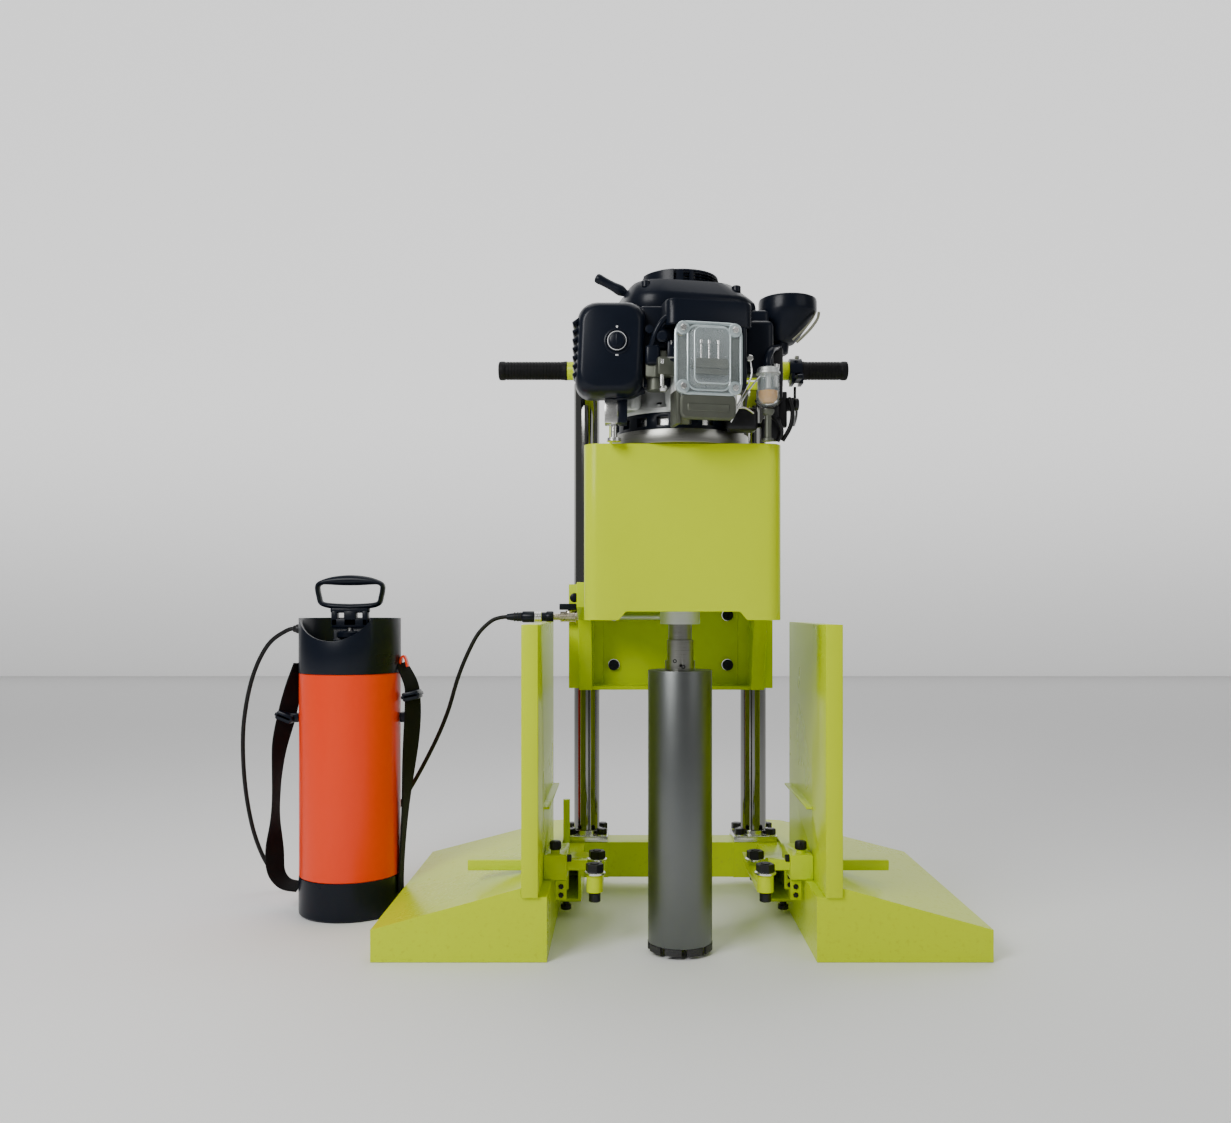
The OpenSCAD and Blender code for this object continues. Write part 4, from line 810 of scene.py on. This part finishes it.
drawn(bm, [grip_foot + pull * s / 1000 for s in (-14, -10, -6, -3, 0, 2, 4, 8)], 0.0016, 10)
rope = closed("starter_rope", bm, None, cordage)
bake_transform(rope)


# ---------------------------------------------------------------------------
# The air cleaner. A rounded black box on the intake with louvres down its
# outer side, held by a turned knob with a white ring.

bm = bmesh.new()
stacked(bm, [
    (88, 122, 20, -97), (96, 132, 22, -99), (101, 138, 24, -106), (100.5, 137.5, 25, -136), (97, 133, 26, -148),
    (91, 127, 26, -155), (83, 119, 25, -159), (77, 113, 23, -160)],
    lambda x, z, out: at(-109 + x + 0.045 * z, out, 925 + z))
closed("air_cleaner_shell", bm, "carriage", moulded, 50, node="air_cleaner")
bm = bmesh.new()
for k in range(7):
    z = 966 - 12.6 * k
    block(bm, (-165.5, -148, z - 2.6), (-151, -104, z + 2.2), 1.3, 2, swung(at(-157, -124, z), -34, "Y"))
closed("cleaner_louvres", bm, "carriage", moulded)
bm = bmesh.new()
lathe(bm, at(-99, -159.6, 932), [(16, 0), (19, 0), (19, 1.2), (17.8, 2), (16.2, 2), (16, 0)], (0, -1, 0), 64)
closed("knob_well", bm, "carriage", moulded)
bm = bmesh.new()
lathe(bm, at(-99, -160.3, 932), [
    (0, 0), (14.9, 0), (14.9, 3), (13.6, 4.2), (12, 4.6), (11.4, 7.2), (10.4, 9), (8.5, 9.8), (0, 9.8)], (0, -1, 0), 48)
block(bm, (-100.6, -170.6, 923), (-97.4, -168, 941), 0.7, 2)
closed("cleaner_knob_cap", bm, "cleaner_knob", moulded, node="air_cleaner_knob")
white = mottled("white_print", {}, 200, 2, (0.62, 0.63, 0.64), (0.78, 0.79, 0.80), 0.4, 0.2)
bm = bmesh.new()
lathe(bm, at(-99, -163.8, 932), [(13.0, 0), (13.9, 0), (13.9, 0.8), (13.0, 1.0), (13.0, 0)], (0, -1, 0), 64)
closed("knob_ring", bm, "cleaner_knob", white)
bm = bmesh.new()
lathe(bm, at(-99, -159.2, 953), [(0, 0), (1.6, 0), (1.6, 1.6), (0, 1.6)], (0, -1, 0), 16)
block(bm, (-101.4, -160.9, 911), (-97, -159, 913), 0.4, 1)
closed("knob_marks", bm, "carriage", white)


# ---------------------------------------------------------------------------
# The intake and controls between them: carburettor, governor rod, breather
# hose, spark plug cap and the small bracket that ends the throttle cable.

softened("carburettor", "carriage", 0.002, sooty)
bm = bmesh.new()
block(bm, (-66, -132, 926), (-14, -100, 992), 6, 3)
block(bm, (-60, -128, 872), (-20, -96, 934), 5, 3)
block(bm, (-58, -152, 900), (-36, -128, 930), 5, 3)
lathe(bm, at(-33, -150, 940), [(0, 0), (7, 0), (8.5, 2), (8.5, 7), (6, 9), (0, 9)], (0, -1, 0), 28)
lathe(bm, at(-52, -146, 952), [(0, 0), (5, 0), (6, 2), (6, 6), (0, 7)], (0, -1, 0), 24)
block(bm, (-26, -158, 902), (-12, -146, 934), 3, 2)
drawn(bm, bent([at(-20, -150, 974), at(-34, -154, 962), at(-44, -152, 944), at(-50, -146, 924)], 5), 0.004, 12)
drawn(bm, bent([at(-60, -120, 870), at(-78, -122, 862), at(-96, -118, 858), at(-102, -112, 852)], 5), 0.006, 16)
drawn(bm, bent([at(-102, -110, 866), at(-101, -110, 852), at(-101, -108, 840)], 4), 0.0055, 16)
block(bm, (-98, -122, 820), (-84, -92, 856), 2, 2)
closed("intake_blocks", bm, "carriage", moulded)
bm = bmesh.new()
block(bm, (-118, -122, 820), (-98.4, -92, 856), 1.6, 2)
lathe(bm, at(-104, -107, 794.5), [(0, 0), (11, 0), (11, 5), (5, 6), (5, 26), (0, 26)], sides=24)
lathe(bm, at(-34, -156, 868), [(0, 0), (3.2, 0), (3.2, 30), (5, 32), (5, 38), (0, 38)], sides=24)
lathe(bm, at(-32, -157, 858), [(0, 0), (5, 1.5), (6.4, 5.5), (5, 9.5), (0, 11)], sides=24)
block(bm, (-21.6, -158.8, 928), (-19.4, -157, 934), 0.4, 1)
block(bm, (-4, -160.6, 936), (-1.6, -158, 956), 0.5, 1)
block(bm, (-27, -158.6, 908), (-14, -157, 910.4), 0.5, 1)
drawn(bm, bent([at(97, -128, 912), at(99, -129, 888), at(84, -132, 856), at(72, -130, 832)], 5), 0.0014, 8)
drawn(bm, bent([at(116, -120, 892), at(102, -130, 876), at(86, -134, 852), at(70, -118, 822)], 5), 0.0013, 8)
drawn(bm, bent([at(74, -128, 840), at(90, -124, 842), at(104, -114, 836)], 5), 0.0016, 8)
hexagon(bm, at(96, -138, 912), 9, 4, (0, -1, 0))
lathe(bm, at(138, -96, 878), [(0, 0), (5, 0), (5, 26), (7, 28), (7, 34), (0, 34)], sides=24)
hexagon(bm, at(100, -101, 834), 8, 3, (0, -1, 0))
closed("intake_fittings", bm, "carriage", bright)

bm = bmesh.new()
block(bm, (146, -74, 822), (160, -62, 876), 1.5, 2)
block(bm, (152, -70, 848), (172, -58, 868), 2, 2)
lathe(bm, at(172, -64, 858), [(0, 0), (7, 0), (9.5, 1), (9.5, 6), (8, 7), (0, 7)], (1, 0, 0), 28)
block(bm, (64, -108, 812), (112, -70, 846), 7, 3)
block(bm, (120, -84, 800), (150, -66, 834), 4, 2)
block(bm, (128, -78, 834), (148, -66, 856), 4, 2)
block(bm, (136, -88, 862), (152, -70, 884), 4, 2)
block(bm, (118, -62, 882), (156, -40, 948), 5, 3)
drawn(bm, bent([at(134, -90, 836), at(144, -92, 826), at(150, -88, 812), at(144, -84, 798)], 5), 0.003, 10)
drawn(bm, bent([at(110, -90, 860), at(122, -92, 850), at(138, -90, 852), at(150, -82, 862)], 5), 0.0026, 10)
closed("control_bracket", bm, "carriage", blacked)
cable_run = bent([at(*p) for p in (
    (223, 263, 950.7), (223, 263, 930), (224, 250, 900), (212, 200, 872), (200, 130, 862), (188, 50, 866),
    (176, -20, 866), (164, -48, 858), (150, -60, 852),
)], 8)
bm = bmesh.new()
drawn(bm, cable_run, 0.0025, 14)
closed("throttle_cable_run", bm, "carriage", rubber, node="throttle_cable")
bm = bmesh.new()
drawn(bm, bent([at(162, -76, 866), at(167, -80, 846), at(164, -82, 822), at(152, -80, 800)], 6), 0.0034, 12)
closed("stop_lead", bm, "carriage", rubber)


# ---------------------------------------------------------------------------
# The fuel side. A glass settling bowl with amber fuel in it under a black
# moulded header tank, joined by a short pipe and held by a strap down its
# taper's right edge, whose lighter olive is partly painted edge highlight.

bowl_x, bowl_y = 126, -111
amber = mottled("petrol", {"IOR": 1.4, "Coat Weight": 0.4}, 60, 2, (0.62, 0.27, 0.0), (0.85, 0.42, 0.002), 0.08, 0.1)
bm = bmesh.new()
lathe(bm, at(bowl_x, bowl_y, 848), [
    (0, -3.5), (9, -3), (14.5, 0.5), (16.6, 5), (17, 10), (17, 45.6), (15.2, 45.6), (15.2, 8), (13, 3),
    (0, 0.4)], sides=48)
closed("settling_glass", bm, "carriage", window, node="fuel_bowl")
bm = bmesh.new()
lathe(bm, at(bowl_x, bowl_y, 849), [(0, 1), (9, 2.4), (13.4, 8), (14.7, 15), (14.7, 20), (0, 20)], sides=48)
closed("petrol_in_glass", bm, "carriage", amber)
bm = bmesh.new()
lathe(bm, at(bowl_x, bowl_y, 894.3), [(0, 0), (18, 0), (18, 3), (16.5, 4), (16.5, 8), (13, 10), (0, 10)], sides=40)
lathe(bm, at(bowl_x, bowl_y, 873), [(0, 0), (4, 0), (4, 21), (0, 21)], sides=20)
closed("bowl_cap", bm, "carriage", cast)
bm = bmesh.new()
lathe(bm, at(bowl_x, bowl_y, 794.5), [
    (0, 0), (8, 0), (8, 4), (5, 5), (5, 38), (7.5, 40), (9.5, 44), (9.5, 47), (0, 47)], sides=32)
closed("bowl_stem", bm, "carriage", sooty)

bm = bmesh.new()
rings = lathe(bm, at(170, -9, 962), [
    (0, 0), (20, 0), (25, 2), (31, 12), (38, 28), (43, 42), (45.2, 48), (46, 52), (46, 67), (45, 70.4),
    (42, 72), (40, 71), (19, 70.4), (17.2, 68), (0, 68)], sides=72)
for ring in rings[:7]:
    for vert in ring:
        vert.co.x -= (rings[7][0].co.z - vert.co.z) * 0.30
closed("header_tank", bm, "carriage", moulded, node="fuel_tank")
bm = bmesh.new()
lathe(bm, at(170, -9, 1030.6), [(0, 0), (16.4, 0), (16.4, 8), (15, 9.6), (0, 9.6)], sides=24)
block(bm, (103, -20, 980), (136, 4, 1000), 4, 3)
pipe = [at(155, -12, 962), at(150, -46, 950), at(134, -100, 934), at(bowl_x, bowl_y, 918), at(bowl_x, bowl_y, 905)]
drawn(bm, bent(pipe, 6), 0.005, 14)
lathe(bm, at(155, -9, 946), [(0, 0), (12, 0), (16, 3), (18, 20), (0, 20)], sides=32)
block(bm, (136, -22, 918), (160, -4, 950), 5, 3)
closed("tank_fittings", bm, "carriage", moulded)
# The strap follows the header tank taper's right edge. Its lighter olive is partly the strap's own zinc and partly
# painted edge highlight.
strap_zinc_and_highlight = mottled("zinc_and_edge_highlight", {"Metallic": 0.8}, 50, 3, (0.20, 0.20, 0.13), (0.36, 0.36, 0.28), 0.35, 0.2)
bm = bmesh.new()
band = bent([at(217, -24, 1010), at(214, -30, 999), at(204, -36, 984), at(191, -38, 970), at(180, -37, 960)], 6)
drawn(bm, band, 0.0022, 10)
drawn(bm, [p + Vector((-0.006, 0.001, 0.004)) for p in band], 0.0016, 10)
closed("tank_strap", bm, "carriage", strap_zinc_and_highlight)


# ---------------------------------------------------------------------------
# The muffler. Pressed steel, tinted by heat, behind the engine.

heated = mottled("heat_tinted_steel", metal, 16, 5, (0.30, 0.24, 0.17), (0.42, 0.40, 0.38), 0.36, 0.25,
                 (400, 3, 0.2, 0.0004))
softened("muffler", "carriage", 0.003, heated, 3)


# ---------------------------------------------------------------------------
# The water tank. An orange moulded shell between a black foot and a black
# head, whose rim dips in front to let the hand reach the pump's lid.

tank_x, tank_y = -585, 238
tank_foot = at(tank_x, tank_y, 0)
orange, where, shader = open_finish("orange_moulding", {
    "Specular IOR Level": 0.3, "Coat Weight": 0.06, "Coat Roughness": 0.2})
flow = where.node("ShaderNodeMapping", {}, {"Vector": where, "Scale": (18, 18, 2.5)})
streak = flow.node("ShaderNodeTexNoise", {}, {"Vector": flow, "Scale": 1.0, "Detail": 4.0})
feed(shader, "Base Color", between(streak, (0.93, 0.036, 0.0, 1), (0.97, 0.056, 0.0, 1)))
feed(shader, "Roughness", 0.26 + 0.12 * streak)
rough_skin(shader, grain(where, 750, 2), 0.06, 0.0003)

bm = bmesh.new()
lathe(bm, tank_foot, [
    (0, 1.6), (80, 1.6), (82, 0), (87, 0), (89.6, 3), (90, 8), (90, 62), (89.6, 67.4), (89, 68), (76, 68),
    (0, 62)], sides=96)
closed("tank_foot", bm, "base", moulded, node="tank_base")
bm = bmesh.new()
lathe(bm, tank_foot, [
    (75.5, 62.4), (75.5, 68.3), (88.2, 68.3), (89.3, 69.5), (89.3, 428.6), (88.2, 429.8), (72, 429.8),
    (72, 68), (0, 68), (0, 62.4), (75.5, 62.4)], sides=128)
closed("tank_body", bm, "base", orange, node="tank_shell")
softened("tank_head", "base", 0.0012, moulded)
bm = bmesh.new()
lathe(bm, at(-676, 250, 508), [(4.2, 0), (8.5, 0), (8.5, 9), (7, 11), (6, 15), (4.3, 16), (4.2, 0)], (-1, 0, 0), 32)
closed("outlet_nut", bm, "base", blacked)


# ---------------------------------------------------------------------------
# The pump. A moulded D handle on a flared stem, fixed to a steel rod that
# runs down into the pump's cylinder.

bm = bmesh.new()
loop = [at(tank_x + x, tank_y, z) for x, z in (
    (0, 548), (24, 549), (44, 551.5), (53, 556), (56, 566), (58.5, 578), (58, 587), (51, 592), (38, 594.5), (20, 595.6),
    (0, 596))]
loop = loop + [Vector((2 * tank_foot.x - p.x, p.y, p.z)) for p in reversed(loop[:-1])]
loop = bent(loop, 5)
swell = [max(0.0, 1 - (abs(p.x - tank_foot.x) / 0.050) ** 2) * (1 if p.z > 0.585 else 0.2) for p in loop]
thick = [0.0046 + 0.0050 * fat for fat in swell]
side_way = Vector((0, 1, 0))
rings = []
for i, point in enumerate(loop[:-1]):
    ahead = (loop[(i + 1) % (len(loop) - 1)] - loop[i - 1 if i else len(loop) - 2]).normalized()
    outward = ahead.cross(side_way).normalized()
    rings.append([
        bm.verts.new(point + outward * thick[i] * math.cos(a) + side_way * 0.0105 * math.sin(a))
        for a in (math.tau * k / 16 for k in range(16))
    ])
skin(bm, rings, False)
for x0, x1 in ((-33, -22), (-10, 12), (23, 33)):
    block(bm, (tank_x + x0, 230, 514), (tank_x + x1, 246, 541), 1.4, 2)
block(bm, (tank_x - 35, 230, 537), (tank_x + 35, 246, 547), 3.5, 3)
block(bm, (tank_x - 33, 230, 510), (tank_x + 33, 246, 527), 2, 2)
closed("pump_grip", bm, "pump", moulded, 45, node="pump_handle")
bm = bmesh.new()
lathe(bm, at(tank_x, tank_y, 128), [(0, 0), (6, 0), (6, 388), (0, 388)], sides=32)
lathe(bm, at(tank_x, tank_y, 108), [
    (0, 0), (19.4, 0), (19.9, 1), (19.9, 8), (18.5, 9), (18.5, 13), (19.9, 14), (19.9, 23), (19, 24),
    (0, 24)], sides=48)
closed("pump_rod", bm, "pump", bright)
bm = bmesh.new()
lathe(bm, at(tank_x, tank_y, 492), [
    (6.2, 0), (22, 0), (24, 2), (24, 10), (22, 12), (9, 14), (6.2, 14), (6.2, 0)], sides=36)
closed("pump_gland", bm, "base", moulded)


# ---------------------------------------------------------------------------
# The carrying strap. Woven black webbing, 36 mm wide and 3 mm thick, in two
# runs with moulded slide buckles, hooked to the head by an orange clip.

webbing, where, shader = open_finish("woven_webbing", {"Specular IOR Level": 0.1})
across, along = (
    where.node("ShaderNodeTexWave", {"wave_type": "BANDS", "bands_direction": way},
               {"Vector": where, "Scale": threads, "Distortion": uneven})
    for way, threads, uneven in (("Z", 260.0, 0.6), ("Y", 200.0, 0.4)))
weave = across * along
feed(shader, "Base Color", between(weave, (0.004, 0.004, 0.004, 1), (0.022, 0.022, 0.023, 1)))
feed(shader, "Roughness", 0.7 + 0.2 * weave)
rough_skin(shader, weave, 0.5, 0.0006)


def ribbon(bm, line, twists, half=0.018, thick=0.0015):
    """A flat band along a line in the strap's plane, turned about itself by each point's twist."""
    rings = []
    for i, point in enumerate(line):
        ahead = (line[min(i + 1, len(line) - 1)] - line[max(i - 1, 0)]).normalized()
        flat = Matrix.Rotation(twists[i], 4, ahead) @ Vector((0, 1, 0))
        face = ahead.cross(flat).normalized()
        rings.append([bm.verts.new(point + flat * w + face * t) for w, t in (
            (-half, -thick), (-half * 0.5, -thick), (half * 0.5, -thick), (half, -thick),
            (half, thick), (half * 0.5, thick), (-half * 0.5, thick), (-half, thick))])
    skin(bm, rings)


bm = bmesh.new()
left_run = bent([at(tank_x + x, tank_y, z) for x, z in (
    (-92.2, 446), (-101, 412), (-114, 355), (-127, 300), (-132, 250), (-134, 206), (-136, 160), (-137, 110), (-134, 70),
    (-118, 48), (-92.2, 42))], 6)
ribbon(bm, left_run, [
    math.radians(44) * (math.exp(-((p.z - 0.355) / 0.085) ** 2) + math.exp(-((p.z - 0.095) / 0.05) ** 2))
    for p in left_run])
right_run = bent([at(tank_x + x, tank_y, z) for x, z in (
    (92.2, 446), (110, 408), (113, 370), (111, 320), (104, 240), (97, 150), (92.2, 70), (92.2, 34))], 6)
ribbon(bm, right_run, [math.radians(40) * math.exp(-((p.z - 0.34) / 0.12) ** 2) for p in right_run])
closed("carrying_straps", bm, "base", webbing, node="tank_straps")
bm = bmesh.new()
for x, z, lean in ((tank_x - 115, 350, 22), (tank_x + 112, 388, -12)):
    slant = swung(at(x, tank_y, z), lean, "Y")
    block(bm, (x - 15, tank_y - 20, z - 8), (x + 15, tank_y + 20, z + 8), 3, 2, slant)
    block(bm, (x - 17, tank_y - 20, z - 3), (x + 17, tank_y + 20, z + 3), 1.2, 2, slant)
block(bm, (tank_x - 108, 228, 340), (tank_x - 90.6, 248, 356), 2, 2)
block(bm, (tank_x + 90.6, 228, 340), (tank_x + 104, 248, 358), 2, 2)
closed("strap_buckles", bm, "base", moulded)
bm = bmesh.new()
clip = bent([at(tank_x + x, tank_y, z) for x, z in (
    (88, 428), (90.5, 444), (93, 456), (97.5, 459), (101, 452), (104, 440))], 5)
ribbon(bm, clip, [0.0] * len(clip), 0.007, 0.0017)
closed("strap_clip", bm, "base", orange)


# ---------------------------------------------------------------------------
# The floor. Plain and pale, with the soft shadow that the lights leave on it.

floor_mesh = bpy.data.meshes.new("floor")
floor_mesh.from_pydata([(-14, -8, 0), (14, -8, 0), (14, 20, 0), (-14, 20, 0)], [], [(0, 1, 2, 3)])
floor = bpy.data.objects.new("floor", floor_mesh)
floor.location.z = -0.0005
bpy.context.collection.objects.link(floor)
pale, where, shader = open_finish("pale_floor", {"Base Color": (0.93, 0.93, 0.93, 1), "Specular IOR Level": 0.15})
speckle = grain(where, 2, 3)
feed(shader, "Roughness", 0.6 + 0.1 * speckle)
floor_mesh.materials.append(pale)
floor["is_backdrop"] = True
screen_mesh = bpy.data.meshes.new("screen")
screen_mesh.from_pydata([(-14, 0, 0), (14, 0, 0), (14, 0, 12), (-14, 0, 12)], [], [(0, 1, 2, 3)])
screen = bpy.data.objects.new("screen", screen_mesh)
screen.location = (0, 7, -0.01)
bpy.context.collection.objects.link(screen)
lit, where, shader = open_finish("lit_screen", {
    "Base Color": (0.9, 0.9, 0.9, 1), "Roughness": 0.9, "Emission Color": (1, 1, 1, 1), "Emission Strength": 1.0})
rise = where.node("ShaderNodeSeparateXYZ", {}, {"Vector": where}, 2)
dawn = rise.node("ShaderNodeMapRange", {"interpolation_type": "SMOOTHSTEP"}, {0: rise, 1: -0.2, 2: 2.4, 3: 0.0, 4: 1.0})
feed(shader, "Emission Color", between(dawn, (0.36, 0.36, 0.36, 1), (1, 1, 1, 1)))
screen_mesh.materials.append(lit)
screen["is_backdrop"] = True

low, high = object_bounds()
